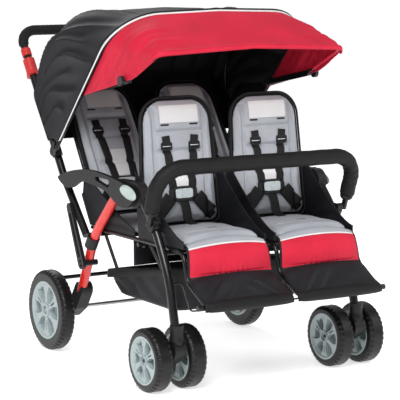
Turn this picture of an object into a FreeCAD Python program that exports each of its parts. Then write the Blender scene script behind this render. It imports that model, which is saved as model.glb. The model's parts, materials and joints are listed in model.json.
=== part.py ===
import FreeCAD
import Part
import math
import os

from FreeCAD import Placement, Rotation, Vector

# Four-seat stroller, two seats in front and two behind, under one canopy.
# Frame: +X is the rider's left, +Y is the back, +Z is up.
# The origin is on the floor, at the middle of the length and of the width.

# Overall sizes
LENGTH = 1150.0
FRAME_X = 318.0

# Tubes
LEG_R = 13.0
REAR_LEG_R = 15.0
HANDLE_R = 12.5
RAIL_R = 6.5
CROSS_R = 7.0
BACK_TUBE_R = 6.0
BOW_R = 4.5
FOOT_R = 8.0
WIRE_R = 2.5
GRIP_WALL = 4.0

# Fits and gaps
RUNNING = 0.05
SOFT_GAP = 0.6
OVERRUN = 4.0
PIN_R = 4.0

# Rear wheels
REAR_WHEEL_R = 127.0
REAR_RIM_R = 92.0
REAR_TYRE_W = 45.0
REAR_FACE_X = 382.0
REAR_AXLE_Y = 270.0
REAR_AXLE_R = 6.0

# Front casters, each with two wheels on one axle
CASTER_R = 93.0
CASTER_RIM_R = 71.0
CASTER_TYRE_W = 54.0
CASTER_FACE = 83.0
CASTER_TRAIL = 53.0
CASTER_AXLE_R = 5.0
SWIVEL_Y = -439.0
FORK_TOP_Z = 152.0
FORK_HALF = 20.0
FORK_R = 27.0
FORK_BOSS_R = 24.0
STEM_R = 7.0
STEM_L = 22.0
SOCKET_R = 20.0
SOCKET_L = 46.0
SOCKET_FLARE_SHARE = 0.333
SOCKET_FOOT_R = 23.5

# Shared wheel proportions
AXLE_RECESS_R = 14.0
AXLE_RECESS = 7.0
WHEEL_RIB_COUNT = 6
WEB_T = 5.0
TYRE_SHOULDER = 14.0
RIM_WALL_SHARE = 0.07
BARREL_SHARE = 0.24
LIP_SHARE = 0.35
SLOT_SHARE = 0.07
SLOT_LENGTH_SHARE = 0.34
SLOT_START_SHARE = 0.42
RIB_ROOT_SHARE = 0.28
RIB_TIP_SHARE = 0.62
RIB_DEPTH_SHARE = 0.86
RIB_WAIST_SHARE = 0.8

# Push handle and its two bends
HANDLE_Z = 1000.0
HANDLE_BEND = 55.0
KNUCKLE = Vector(0, 249, 547)
HANDLE_END = Vector(0, 104, 384)
KNUCKLE_BEND = 200.0
TRIGGER_L = 60.0
TRIGGER_FROM_TOP = 142.0
TRIGGER_R = 19.0
TRIGGER_FLARE_R = 22.0
TRIGGER_FLARE_L = 15.0
LOCK_L = 26.0
LOCK_FROM_TOP = 86.0
LOCK_R = 16.0

# Legs, in the side view
FRONT_LEG_TOP = Vector(0, -204, 582)
FRONT_LEG_KNEE = Vector(0, -318, 468)
FRONT_LEG_SHIN = Vector(0, -396, 330)
FRONT_LEG_FOOT = Vector(0, -434, 176)
LEG_BEND = 480.0
REAR_LEG_TOP = Vector(0, -112, 555)
REAR_LEG_KNEE = Vector(0, 55, 393)
REAR_LEG_FOOT = Vector(0, 222, 152)
REAR_FOOT_X = 285.0
REAR_KNEE_X = 316.0
REAR_LEG_BEND = 560.0

# Boot that joins the rear leg to the axle
BOOT_T = 40.0
BOOT_TOP_R = 24.0
BOOT_AXLE_R = 28.0
BOOT_RISE = 58.0
BUSH_R = 12.0
BUSH_L = 26.0

# Foot brake
BRAKE_Y = 290.0
BRAKE_Z = 222.0
BRAKE_HALF = 312.0
BRAKE_R = 6.5
BRAKE_ARM_T = 5.0
BRAKE_EYE_R = 12.0
BRAKE_TIP_R = 8.5
BRAKE_ARM_X = 312.0
PEDAL_W = 96.0
PEDAL_L = 34.0
PEDAL_T = 9.0
PEDAL_ROUND = 3.5

# Armrests
ARM_X = 331.5
ARM_T = 14.0
ARM_WINDOW_R = 6.0
ARM_WINDOW_SHARES = [(0.52, 0.27), (0.66, 0.2)]
ARM_HUB_R = 38.0
ARM_HUB_T = 28.0
ARM_HUB_BACK_R = 30.0
ARM_HUB = Vector(0, -222, 550)
ARM_TOP_SHARES = [
    (0.02, 0.10),
    (0.22, 0.36),
    (0.46, 0.46),
    (0.68, 0.40),
    (0.88, 0.26),
]
ARM_LOW_SHARES = [
    (0.985, -0.02),
    (0.93, -0.26),
    (0.84, -0.36),
    (0.74, -0.24),
    (0.66, -0.06),
    (0.50, 0.06),
    (0.28, 0.04),
    (0.08, -0.12),
]
ARM_L = 500.0
ARM_DEPTH = 110.0
ARM_NOSE = 1.0
CAP_Y = -208.0
CAP_Z = 556.0
CAP_LONG = 47.0
CAP_SHORT = 20.0
CAP_RISE = 5.0
CAP_TILT = 10.0

# Fold link and the collar that the handle locks into
LINK_TOP = Vector(0, 179, 466)
LINK_END = Vector(0, 101, 299)
LINK_W = 13.0
LINK_END_W = 18.0
LINK_T = 11.0
LINK_WEB_SHARE = 0.667
LINK_BOSS_R = 9.0
LINK_SLOT = 7.0
SLOT_R = 5.0
COLLAR_L = 40.0
COLLAR_R = 20.0
COLLAR_SEAT_R = 17.5
COLLAR_BORE_R = 13.5
CRADLE_L = 22.0

# Canopy
PIVOT = Vector(0, 270, 628)
FRONT_BOW_ANGLE = 133.0
FRONT_BOW_H = 616.0
BOW_X = 340.0
BOW_CORNER = 145.0
BOW_RISE = 15.0
CLOTH_T = 3.0
CLOTH_GAP = 4.0
CANOPY_START = 58.0
REAR_BOW_ANGLE = 95.0
REAR_BOW_SHARE = 0.69
REAR_BOW_CORNER = 145.0
REAR_BOW_FOOT = Vector(0, 19, 40)
HIP_ANGLE = 68.0
HIP_SHARE = 0.4
HIP_BEND = 160.0
FAN_ANGLES = [133.0, 114.0, 95.0, 75.0, 53.5]
FAN_HEIGHT_SHARES = [0.995, 0.79, 0.72, 0.6, 0.455]
FAN_CORNER_SHARES = [1.0, 0.95, 0.85, 0.7, 0.5]
CLAMP_R = 17.0
CLAMP_L = 30.0
CLAMP_LUG_T = 9.0
CLAMP_ARM_R = 13.5
CLAMP_FOOT_R = 7.0
EYE_R = 9.0
EYE_T = 7.0
EYE_BITE = 1.0

# Visor
KNOB_AT = 264.0
KNOB = Vector(0, -170, 882)
KNOB_R = 15.0
KNOB_T = 11.0
ARM_IN_X = 322.0
ARM_IN_T = 5.0
VISOR_TIP = Vector(328, -352, 957)
VISOR_CROWN = Vector(0, -336, 992)
VISOR_CORNER = 34.0
VISOR_SHARES = [0.0, 0.33, 0.67, 1.0]
VISOR_HALF_SHARES = [1.0, 0.99, 0.98, 0.965]
VISOR_CORNER_SHARES = [1.0, 0.72, 0.4, 0.1]
VISOR_LIFT_SHARES = [0.0, 0.22, 0.2, 0.0]
VISOR_SAG_SHARES = [0.0, 0.35, 0.65, 0.0]
VISOR_BOW_R = 3.5

# Belly bar
BELLY_X = 346.0
BELLY_END = Vector(0, -333, 482)
BELLY_TOP = Vector(0, -392, 645)
BELLY_TUBE_R = 9.0
BELLY_LUG_GAP = 0.2
BELLY_PAD_R = 24.0
BELLY_BEND = 78.0
BELLY_PAD_START = 34.0
BELLY_RING_R = 16.5
BELLY_RING_L = 34.0

# Seats
SEAT_X = 158.0
ROW_STEP = 282.0
RAIL_Z = 408.0
RAIL_OUT_X = 294.0
RAIL_IN_X = 22.0
RAIL_BACK_Y = 112.0
SLING_HALF = 142.0
SLING_T = 3.0
PAD_HALF = 136.0
PAD_T = 24.0
SEAT_DEPTH = 228.0
BIGHT_Y = -217.0
FRONT_LEAN = 6.0
REAR_LEAN = 32.0
FRONT_BACK_H = 385.0
REAR_BACK_H = 455.0
FRONT_BACK_HALF = 137.0
REAR_BACK_HALF = 122.0
BACK_TAPER_SHARE = 0.88
BACK_CORNER = 74.0
PAD_CORNER = 26.0
PAD_INSET = 9.0
WING_H = 190.0
WING_T = 3.0
CHANNEL = 2.2
CROWN_SHARE = 0.38
FACE_SHARE = 1.3
BACK_CHANNEL_SHARES = [0.37, 0.62, 0.78]
SIDE_CHANNEL_SHARE = 0.62
BACK_TUBE_HALF = 112.0
EYE_WALL = 4.0
EYE_L = 22.0

# Front leg panels and rear foot panels
CALF_TOP_T = 15.0
REAR_CALF_SHARES = [(0.0, 0.0), (0.06, -0.28), (0.03, -0.55), (-0.03, -0.8), (0.04, -1.0)]
REAR_CALF_L = 76.0
REAR_CALF_SET_BACK = 14.0
CALF_X = 158.0

# Footrest frame
FOOT_Z = 268.0
SHIN_Y = -462.0
SHIN_Z = 322.0
SEAM_SHARE = 0.167
CALF_RAIL_SHARES = [(-2.0, 1.4), (-4.2, -1.6)]
CALF_SHIN_SHARES = [(-1.7, 3.4), (-6.2, -0.6)]
CALF_FOOT_SHARES = [(2.4, 2.6)]
CALF_FORM_SHARES = [(0.95, 0.9), (0.96, 1.0), (0.93, 1.0), (0.97, 0.8), (1.04, 0.6)]
RAIL_FRONT_Y = -436.0
RAIL_BEND = 40.0
FOOT_BEND = 20.0
FOOT_WIRE_X = 280.0
FOOT_WIRE_IN_X = 37.0
FOOT_WIRE_Y = -452.0
FOOT_WIRE_Z = 236.0
FOOT_WIRE_BACK_Y = -404.0
FOOT_WIRE_BACK_Z = 312.0
FOOT_WIRE_BEND = 12.0

# Basket
BASKET_HALF = 250.0
BASKET_BASE_HALF = 222.0
BASKET_BACK = 122.0
BASKET_FRONT = -300.0
BASKET_TOP_BACK_Z = 268.0
BASKET_TOP_FRONT_Z = 340.0
BASKET_BASE_Z = 198.0
BASKET_BASE_BACK = 82.0
BASKET_BASE_FRONT = -268.0
BASKET_T = 3.0
BASKET_CORNER = 40.0
HANGER_SHARES = [0.12, 0.78]
HANGER_W = 22.0
HANGER_T = 1.6

# Harness
WEB_W = 25.0
WEB_STRAP_T = 2.0
SHOULDER_X = 46.0
SHOULDER_END = 118.0
BUCKLE_W = 62.0
BUCKLE_H = 46.0
BUCKLE_T = 13.0
BUCKLE_ROUND_SHARE = 0.3
SHOULDER_TOP_SHARE = 0.8
CROTCH_START_SHARE = 0.62
CROTCH_LENGTH_SHARE = 0.42
WING_KINK_SHARE = 0.5
SEAT_END_GAP = 16.0

# Worked out from the sizes above
FRONT_Y = -LENGTH / 2
BACK_Y = LENGTH / 2
GRIP_R = HANDLE_R + GRIP_WALL
HANDLE_Y = BACK_Y - GRIP_R
FOOT_Y = FRONT_Y + FOOT_R
REAR_CENTRE_X = REAR_FACE_X - REAR_TYRE_W / 2
CASTER_Y = SWIVEL_Y + CASTER_TRAIL
CROSS_Z = RAIL_Z - RAIL_R - CROSS_R
X_AXIS = Vector(1, 0, 0)
Z_AXIS = Vector(0, 0, 1)
SIDES = {"right": -1, "left": 1}
ROWS = {"front": 0.0, "rear": ROW_STEP}
LEANS = {"front": FRONT_LEAN, "rear": REAR_LEAN}
BACK_HEIGHTS = {"front": FRONT_BACK_H, "rear": REAR_BACK_H}
BACK_HALVES = {"front": FRONT_BACK_HALF, "rear": REAR_BACK_HALF}


def at(point, x):
    """A point of the side view, moved out to x."""
    return Vector(x, point.y, point.z)


def bent_wire(corners, bends):
    """Straight runs joined by tangent arcs; bends holds one radius for each inner corner."""
    edges = []
    start = corners[0]
    for before, corner, after, bend in zip(corners, corners[1:], corners[2:], bends):
        into = (corner - before).normalize()
        out = (after - corner).normalize()
        half = into.getAngle(out) / 2
        first = corner - into * (bend * math.tan(half))
        last = corner + out * (bend * math.tan(half))
        inward = (out - into).normalize()
        middle = corner + inward * (bend / math.cos(half) - bend)
        edges.append(Part.LineSegment(start, first).toShape())
        edges.append(Part.Arc(first, middle, last).toShape())
        start = last
    edges.append(Part.LineSegment(start, corners[-1]).toShape())
    return Part.Wire(edges)


def tube(corners, bends, radius):
    """A round bar along bent_wire."""
    path = bent_wire(corners, bends)
    ring = Part.Wire(Part.makeCircle(radius, corners[0], corners[1] - corners[0]))
    return path.makePipeShell([ring], True, False)


def rod(start, end, radius):
    """A straight round bar between two points."""
    along = end - start
    return Part.makeCylinder(radius, along.Length, start, along)


def plate(points, thickness, x):
    """A side-view polygon of points, thickened from x outwards by thickness."""
    loop = [Vector(x, p.y, p.z) for p in points]
    face = Part.Face(Part.makePolygon(loop + loop[:1]))
    return face.extrude(X_AXIS * thickness)


def capsule(first, second, first_r, second_r, thickness, x):
    """A flat bar seen from the side: two round ends joined by their outer tangents."""
    a = at(first, x)
    b = at(second, x)
    along = b - a
    reach = along.Length
    along.normalize()
    lean = math.acos((first_r - second_r) / reach)
    up = Rotation(X_AXIS, math.degrees(lean)).multVec(along)
    down = Rotation(X_AXIS, -math.degrees(lean)).multVec(along)
    loop = [
        Part.LineSegment(a + up * first_r, b + up * second_r).toShape(),
        Part.Arc(b + up * second_r, b + along * second_r, b + down * second_r).toShape(),
        Part.LineSegment(b + down * second_r, a + down * first_r).toShape(),
        Part.Arc(a + down * first_r, a - along * first_r, a + up * first_r).toShape(),
    ]
    return Part.Face(Part.Wire(loop)).extrude(X_AXIS * thickness)


def mirrored(shape):
    """The same piece on the other side of the middle plane."""
    return shape.mirror(Vector(0, 0, 0), X_AXIS)


def soft_cut(shape, tools):
    """Shape with each tool taken out of it."""
    for tool in tools:
        shape = shape.cut(tool)
    return shape


# Wheels

def revolve_x(points, centre):
    """A closed profile of (x, radius) pairs turned about the wheel's own axle."""
    loop = [centre + Vector(x, 0, r) for x, r in points]
    face = Part.Face(Part.makePolygon(loop + loop[:1]))
    return face.revolve(centre, X_AXIS, 360)


def tyre(centre, radius, rim_r, width):
    """A tyre with rounded shoulders and a flat tread, open at the rim."""
    half = width / 2
    shoulder = TYRE_SHOULDER
    side_r = radius - shoulder
    turn = shoulder * (1 - math.sqrt(1 / 2))
    edges = [
        Part.LineSegment(Vector(-half, 0, rim_r), Vector(-half, 0, side_r)).toShape(),
        Part.Arc(
            Vector(-half, 0, side_r),
            Vector(-half + turn, 0, radius - turn),
            Vector(-half + shoulder, 0, radius),
        ).toShape(),
        Part.LineSegment(Vector(-half + shoulder, 0, radius), Vector(half - shoulder, 0, radius)).toShape(),
        Part.Arc(
            Vector(half - shoulder, 0, radius),
            Vector(half - turn, 0, radius - turn),
            Vector(half, 0, side_r),
        ).toShape(),
        Part.LineSegment(Vector(half, 0, side_r), Vector(half, 0, rim_r)).toShape(),
        Part.LineSegment(Vector(half, 0, rim_r), Vector(-half, 0, rim_r)).toShape(),
    ]
    ring = Part.Face(Part.Wire(edges)).revolve(Vector(0, 0, 0), X_AXIS, 360)
    ring.translate(centre)
    return ring


def hub(centre, rim_r, width, bore_r, outward):
    """A moulded wheel: a stepped rim, a dished web, curved twin ribs and three slots."""
    half = width / 2
    rim_t = rim_r * RIM_WALL_SHARE
    barrel_r = rim_r * BARREL_SHARE
    lip = half * LIP_SHARE
    rim = revolve_x(
        [
            (-half, rim_r - rim_t),
            (-half, rim_r),
            (half, rim_r),
            (half, rim_r - rim_t),
            (half - lip, rim_r - rim_t - lip),
            (-half + lip, rim_r - rim_t - lip),
        ],
        centre,
    )
    barrel = Part.makeCylinder(barrel_r, width, centre - X_AXIS * half, X_AXIS)
    web = Part.makeCylinder(rim_r - rim_t, WEB_T, centre - X_AXIS * (WEB_T / 2), X_AXIS)
    body = rim.fuse([barrel, web])
    reach = rim_r - rim_t
    for i in range(WHEEL_RIB_COUNT):
        rib = wheel_rib(barrel_r, reach, half)
        rib.rotate(Vector(0, 0, 0), X_AXIS, 360 * i / WHEEL_RIB_COUNT)
        rib.translate(centre)
        body = body.fuse(rib)
    slot_w = reach * SLOT_SHARE
    for i in range(WHEEL_RIB_COUNT // 2):
        slot = Part.makeBox(width, slot_w, reach * SLOT_LENGTH_SHARE)
        slot.translate(Vector(-half, -slot_w / 2, reach * SLOT_START_SHARE))
        slot.rotate(Vector(0, 0, 0), X_AXIS, 360 * (2 * i + 1) / WHEEL_RIB_COUNT)
        slot.translate(centre)
        body = body.cut(slot)
    body = body.cut(
        Part.makeCylinder(bore_r + RUNNING, width + 2 * OVERRUN, centre - X_AXIS * (half + OVERRUN), X_AXIS)
    )
    mouth = centre + X_AXIS * (outward * (half - AXLE_RECESS))
    recess = Part.makeCylinder(AXLE_RECESS_R, AXLE_RECESS + OVERRUN, mouth, X_AXIS * outward)
    return body.cut(recess)


def wheel_rib(root_r, tip_r, half):
    """One spoke: it widens to the rim with hollow flanks, and its back edge dips to the web."""
    root = tip_r * RIB_ROOT_SHARE / 2
    tip = tip_r * RIB_TIP_SHARE / 2
    waist = root * RIB_WAIST_SHARE
    middle = (root_r + tip_r) / 2
    tip_drop = math.sqrt(tip_r**2 - tip**2)
    loop = [
        Part.Arc(
            Vector(0, -root, root_r - WEB_T), Vector(0, -waist, middle), Vector(0, -tip, tip_drop)
        ).toShape(),
        Part.Arc(Vector(0, -tip, tip_drop), Vector(0, 0, tip_r), Vector(0, tip, tip_drop)).toShape(),
        Part.Arc(
            Vector(0, tip, tip_drop), Vector(0, waist, middle), Vector(0, root, root_r - WEB_T)
        ).toShape(),
        Part.LineSegment(Vector(0, root, root_r - WEB_T), Vector(0, -root, root_r - WEB_T)).toShape(),
    ]
    depth = half * RIB_DEPTH_SHARE
    rib = Part.Face(Part.Wire(loop)).extrude(X_AXIS * (2 * depth))
    rib.translate(X_AXIS * -depth)
    return rib


def caster_wheels(side):
    """The two wheels of one caster, as (name, tyre, hub) from the outside in."""
    wheels = []
    for place, away in (("outer", side), ("inner", -side)):
        x = side * FRAME_X + away * (CASTER_FACE - CASTER_TYRE_W / 2)
        centre = Vector(x, CASTER_Y, CASTER_R)
        wheels.append(
            (
                place,
                tyre(centre, CASTER_R, CASTER_RIM_R, CASTER_TYRE_W),
                hub(centre, CASTER_RIM_R, CASTER_TYRE_W, CASTER_AXLE_R, away),
            )
        )
    return wheels


def caster_fork(side):
    """The block between the wheels, with its axle and a stem that turns in the leg's socket."""
    x = side * FRAME_X
    head = Vector(0, SWIVEL_Y, FORK_TOP_Z - FORK_R)
    boss = Vector(0, CASTER_Y, CASTER_R)
    block = capsule(head, boss, FORK_R, FORK_BOSS_R, 2 * FORK_HALF, x - FORK_HALF)
    neck = Part.makeCylinder(
        SOCKET_R, FORK_R, Vector(x, SWIVEL_Y, FORK_TOP_Z - FORK_R - RUNNING), Z_AXIS
    )
    stem = Part.makeCylinder(STEM_R, STEM_L + FORK_R, Vector(x, SWIVEL_Y, FORK_TOP_Z - FORK_R), Z_AXIS)
    middle = Vector(x, CASTER_Y, CASTER_R)
    reach = X_AXIS * (CASTER_FACE - AXLE_RECESS / 2)
    return block.fuse([neck, stem, rod(middle - reach, middle + reach, CASTER_AXLE_R)])


# Legs and feet

def front_leg(side):
    """The bent tube from the armrest hub to the caster socket."""
    x = side * FRAME_X
    corners = [at(p, x) for p in (FRONT_LEG_TOP, FRONT_LEG_KNEE, FRONT_LEG_SHIN, FRONT_LEG_FOOT)]
    return tube(corners, [LEG_BEND, LEG_BEND], LEG_R)


def caster_socket(side, leg):
    """The moulded socket on the leg's foot, bored for the fork's stem."""
    x = side * FRAME_X
    body = Part.makeCylinder(SOCKET_R, SOCKET_L, Vector(x, SWIVEL_Y, FORK_TOP_Z), Z_AXIS)
    flare = Part.makeCone(
        SOCKET_FOOT_R, SOCKET_R, SOCKET_L * SOCKET_FLARE_SHARE, Vector(x, SWIVEL_Y, FORK_TOP_Z), Z_AXIS
    )
    bore = Part.makeCylinder(
        STEM_R + RUNNING, STEM_L + 2 * RUNNING, Vector(x, SWIVEL_Y, FORK_TOP_Z), Z_AXIS
    )
    return body.fuse(flare).cut(bore).cut(leg)


def rear_leg(side):
    """The bright bent leg from the armrest hub to the boot."""
    corners = [
        at(REAR_LEG_TOP, side * FRAME_X),
        at(REAR_LEG_KNEE, side * REAR_KNEE_X),
        at(REAR_LEG_FOOT, side * REAR_FOOT_X),
    ]
    return tube(corners, [REAR_LEG_BEND], REAR_LEG_R)


def rear_boot(side, leg, axle):
    """The moulded boot: a sleeve round the leg's foot that broadens to the axle boss."""
    x = side * REAR_FOOT_X
    rise = (REAR_LEG_KNEE - REAR_LEG_FOOT).normalize()
    head = REAR_LEG_FOOT + rise * BOOT_RISE
    axle_point = Vector(0, REAR_AXLE_Y, REAR_WHEEL_R)
    sleeve = capsule(head, REAR_LEG_FOOT, BOOT_TOP_R, BOOT_TOP_R, BOOT_T, x - BOOT_T / 2)
    web = capsule(REAR_LEG_FOOT, axle_point, BOOT_TOP_R, BOOT_AXLE_R, BOOT_T, x - BOOT_T / 2)
    bush = Part.makeCylinder(
        BUSH_R, BUSH_L, Vector(x - side * BOOT_T / 2, REAR_AXLE_Y, REAR_WHEEL_R), X_AXIS * -side
    )
    return sleeve.fuse([web, bush]).cut(leg).cut(axle)


def rear_axle():
    """One rod through both boots and both rear wheels."""
    half = REAR_FACE_X - AXLE_RECESS / 2
    y, z = REAR_AXLE_Y, REAR_WHEEL_R
    return rod(Vector(-half, y, z), Vector(half, y, z), REAR_AXLE_R)


def brake_bar():
    """The foot brake: a bar behind the axle on two arms that turn on the axle."""
    bar = rod(Vector(-BRAKE_HALF, BRAKE_Y, BRAKE_Z), Vector(BRAKE_HALF, BRAKE_Y, BRAKE_Z), BRAKE_R)
    hinge = Vector(0, REAR_AXLE_Y, REAR_WHEEL_R)
    top = Vector(0, BRAKE_Y, BRAKE_Z)
    arm = capsule(hinge, top, BRAKE_EYE_R, BRAKE_TIP_R, BRAKE_ARM_T, BRAKE_ARM_X - BRAKE_ARM_T)
    pedal = Part.makeBox(
        PEDAL_W,
        PEDAL_L,
        PEDAL_T,
        Vector(-PEDAL_W / 2, BRAKE_Y - BRAKE_R, BRAKE_Z - PEDAL_T / 2),
    )
    pedal = pedal.makeFillet(PEDAL_ROUND, pedal.Edges)
    body = bar.fuse([arm, mirrored(arm), pedal])
    bore = rod(
        hinge - X_AXIS * REAR_FACE_X, hinge + X_AXIS * REAR_FACE_X, REAR_AXLE_R + RUNNING
    )
    return body.cut(bore)


# Push handle

def handle_corner(side):
    """Where the side tube and the cross bar of the handle would meet without a bend."""
    return Vector(side * FRAME_X, HANDLE_Y, HANDLE_Z)


def handle_run(side, from_top):
    """A point on the side tube, from_top down from the handle's corner."""
    top = handle_corner(side)
    along = (at(KNUCKLE, side * FRAME_X) - top).normalize()
    return top + along * from_top


def handle_path():
    """Both side tubes and the cross bar as one list of corners, with their bends."""
    right, left = -FRAME_X, FRAME_X
    corners = [
        at(HANDLE_END, right),
        at(KNUCKLE, right),
        handle_corner(-1),
        handle_corner(1),
        at(KNUCKLE, left),
        at(HANDLE_END, left),
    ]
    return corners, [KNUCKLE_BEND, HANDLE_BEND, HANDLE_BEND, KNUCKLE_BEND]


def handle_tube():
    """The push handle's tube, bored for the armrest pivots and the link pivots."""
    corners, bends = handle_path()
    body = tube(corners, bends, HANDLE_R)
    for point in (KNUCKLE, LINK_TOP):
        bore = rod(at(point, -ARM_X - OVERRUN), at(point, ARM_X + OVERRUN), PIN_R + RUNNING)
        body = body.cut(bore)
    return body


def handle_grip():
    """The foam grip over the cross bar and its two bends."""
    corners = [
        handle_run(-1, HANDLE_BEND + OVERRUN),
        handle_corner(-1),
        handle_corner(1),
        handle_run(1, HANDLE_BEND + OVERRUN),
    ]
    bends = [HANDLE_BEND, HANDLE_BEND]
    return tube(corners, bends, GRIP_R).cut(tube(corners, bends, HANDLE_R + RUNNING))


def fold_trigger(side):
    """The pull sleeve that releases the fold, and the lock sleeve above it."""
    along = (handle_run(side, LENGTH) - handle_run(side, 0)).normalize()
    start = handle_run(side, TRIGGER_FROM_TOP - TRIGGER_L / 2)
    barrel = Part.makeCylinder(TRIGGER_R, TRIGGER_L, start, along)
    neck = Part.makeCone(
        TRIGGER_R, TRIGGER_FLARE_R, TRIGGER_FLARE_L, start + along * (TRIGGER_L - TRIGGER_FLARE_L), along
    )
    lock = Part.makeCylinder(LOCK_R, LOCK_L, handle_run(side, LOCK_FROM_TOP - LOCK_L / 2), along)
    bore = Part.makeCylinder(HANDLE_R + RUNNING, LENGTH / 2, handle_run(side, 0), along)
    return Part.makeCompound([barrel.fuse(neck).cut(bore), lock.cut(bore)])


# Armrests


def arm_point(share):
    """A point of the armrest's outline, from shares of its length and depth."""
    along, up = share
    return Vector(0, KNUCKLE.y + ARM_NOSE - along * ARM_L, KNUCKLE.z + up * ARM_DEPTH)


def armrest(side, legs):
    """The moulded armrest: a curved outer bar with a window and a hub that holds both legs."""
    points = [arm_point(s) for s in ARM_TOP_SHARES + ARM_LOW_SHARES]
    points = [at(p, ARM_X) for p in points]
    curve = Part.BSplineCurve()
    curve.interpolate(Points=points, PeriodicFlag=True)
    bar = Part.Face(Part.Wire(curve.toShape())).extrude(X_AXIS * ARM_T)
    first, second = [arm_point(s) for s in ARM_WINDOW_SHARES]
    window = capsule(first, second, ARM_WINDOW_R, 2 * ARM_WINDOW_R, 2 * ARM_T, ARM_X - ARM_T / 2)
    block = capsule(ARM_HUB, REAR_LEG_TOP, ARM_HUB_R, ARM_HUB_BACK_R, ARM_HUB_T, ARM_X - ARM_HUB_T)
    pin = rod(at(KNUCKLE, ARM_X), at(KNUCKLE, FRAME_X - HANDLE_R), PIN_R)
    body = bar.cut(window).fuse([block, pin])
    if side < 0:
        body = mirrored(body)
    return soft_cut(body, legs)


def armrest_cap(side):
    """The bare oval cap on the armrest's hub, a shallow dome."""
    x = ARM_X + ARM_T
    centre = Vector(x, CAP_Y, CAP_Z)
    rim = Part.Wire(Part.Ellipse(Vector(0, 0, 0), CAP_LONG, CAP_SHORT).toShape())
    inner = Part.Wire(
        Part.Ellipse(Vector(0, 0, CAP_RISE), CAP_LONG - CAP_RISE, CAP_SHORT - CAP_RISE).toShape()
    )
    dome = Part.makeLoft([rim, inner], True, True)
    turn = Rotation(X_AXIS, CAP_TILT) * Rotation(Vector(0, 1, 0), 90) * Rotation(Z_AXIS, 90)
    dome.Placement = Placement(centre, turn)
    return dome if side > 0 else mirrored(dome)


# Fold link and latch collar

def fold_link(side):
    """The flat moulded link from the handle tube to the rear leg, with its two pins."""
    x = ARM_X
    body = capsule(LINK_TOP, LINK_END, LINK_W, LINK_END_W, LINK_T, x)
    along = (LINK_END - LINK_TOP).normalize()
    groove = capsule(
        LINK_TOP + along * (2 * LINK_W),
        LINK_END - along * (2 * LINK_W),
        LINK_W / 2,
        LINK_W / 2,
        LINK_T / 2,
        x + LINK_T * LINK_WEB_SHARE,
    )
    slot = capsule(
        LINK_END - along * LINK_SLOT,
        LINK_END + along * LINK_SLOT,
        SLOT_R,
        SLOT_R + RUNNING,
        LINK_T * 2,
        x - LINK_T / 2,
    )
    pin = rod(at(LINK_TOP, x), at(LINK_TOP, FRAME_X - HANDLE_R), PIN_R)
    body = body.cut(groove).cut(slot).fuse(pin)
    return body if side > 0 else mirrored(body)


def latch_collar(side, leg):
    """The collar on the rear leg, with the cradle that the handle tube locks into."""
    down = (REAR_LEG_FOOT - REAR_LEG_KNEE).normalize()
    start = at(REAR_LEG_KNEE + down * (CROSS_R + SOFT_GAP), side * REAR_KNEE_X)
    ring = Part.makeCylinder(COLLAR_R, COLLAR_L, start, down)
    cradle_dir = (HANDLE_END - KNUCKLE).normalize()
    cradle_start = at(HANDLE_END - cradle_dir * (COLLAR_L / 2), side * FRAME_X)
    cradle = Part.makeCylinder(COLLAR_SEAT_R, CRADLE_L, cradle_start, cradle_dir)
    way = plate(
        [
            HANDLE_END - cradle_dir * COLLAR_L,
            HANDLE_END + cradle_dir * COLLAR_L,
            HANDLE_END + cradle_dir * COLLAR_L + Vector(0, COLLAR_L * 2, -COLLAR_L),
            HANDLE_END - cradle_dir * COLLAR_L + Vector(0, COLLAR_L * 2, -COLLAR_L),
        ],
        2 * COLLAR_BORE_R,
        side * FRAME_X - COLLAR_BORE_R,
    )
    seat = Part.makeCylinder(
        COLLAR_BORE_R, COLLAR_L * 2, at(HANDLE_END - cradle_dir * COLLAR_L, side * FRAME_X), cradle_dir
    )
    inner = at(LINK_END, side * REAR_FOOT_X)
    stud = rod(inner, at(LINK_END, side * (ARM_X + LINK_T - RUNNING)), PIN_R)
    boss = rod(inner, at(LINK_END, side * (ARM_X - SOFT_GAP)), LINK_BOSS_R)
    outside = stud.fuse(boss).cut(leg).Solids
    held = max(outside, key=lambda part: side * part.CenterOfMass.x)
    body = ring.fuse(cradle).cut(seat).cut(way).cut(leg)
    return Part.makeCompound([largest(body), held])


def largest(shape):
    """The biggest solid of a cut, without the crumbs."""
    return max(shape.Solids, key=lambda s: s.Volume)


# Canopy and visor

def fan_point(angle, reach, x):
    """A point at reach from the canopy's pivot, in the plane turned to angle."""
    lean = math.radians(angle)
    return Vector(x, PIVOT.y + reach * math.cos(lean), PIVOT.z + reach * math.sin(lean))


def arch(base, crown, half, corner, rise):
    """A hoop's corners from base to crown in one plane: sides, rounded shoulders, a low crown."""
    shoulder = crown - (crown - base).normalize() * rise
    return [
        at(base, -half),
        at(shoulder, -half),
        at(crown, 0),
        at(shoulder, half),
        at(base, half),
    ], [corner, half, corner]


def band(base, crown, half, corner, rise, thickness):
    """The closed outline of a thin hoop: an arch and its inner offset, joined at both feet."""
    inner_crown = crown - (crown - base).normalize() * thickness
    outer, outer_bends = arch(base, crown, half, corner, rise)
    inner, inner_bends = arch(base, inner_crown, half - thickness, corner - thickness, rise)
    edges = bent_wire(outer, outer_bends).Edges
    edges.append(Part.LineSegment(outer[-1], inner[-1]).toShape())
    edges += bent_wire(inner, inner_bends).Edges[::-1]
    edges.append(Part.LineSegment(inner[0], outer[0]).toShape())
    return Part.Wire(edges)


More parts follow.
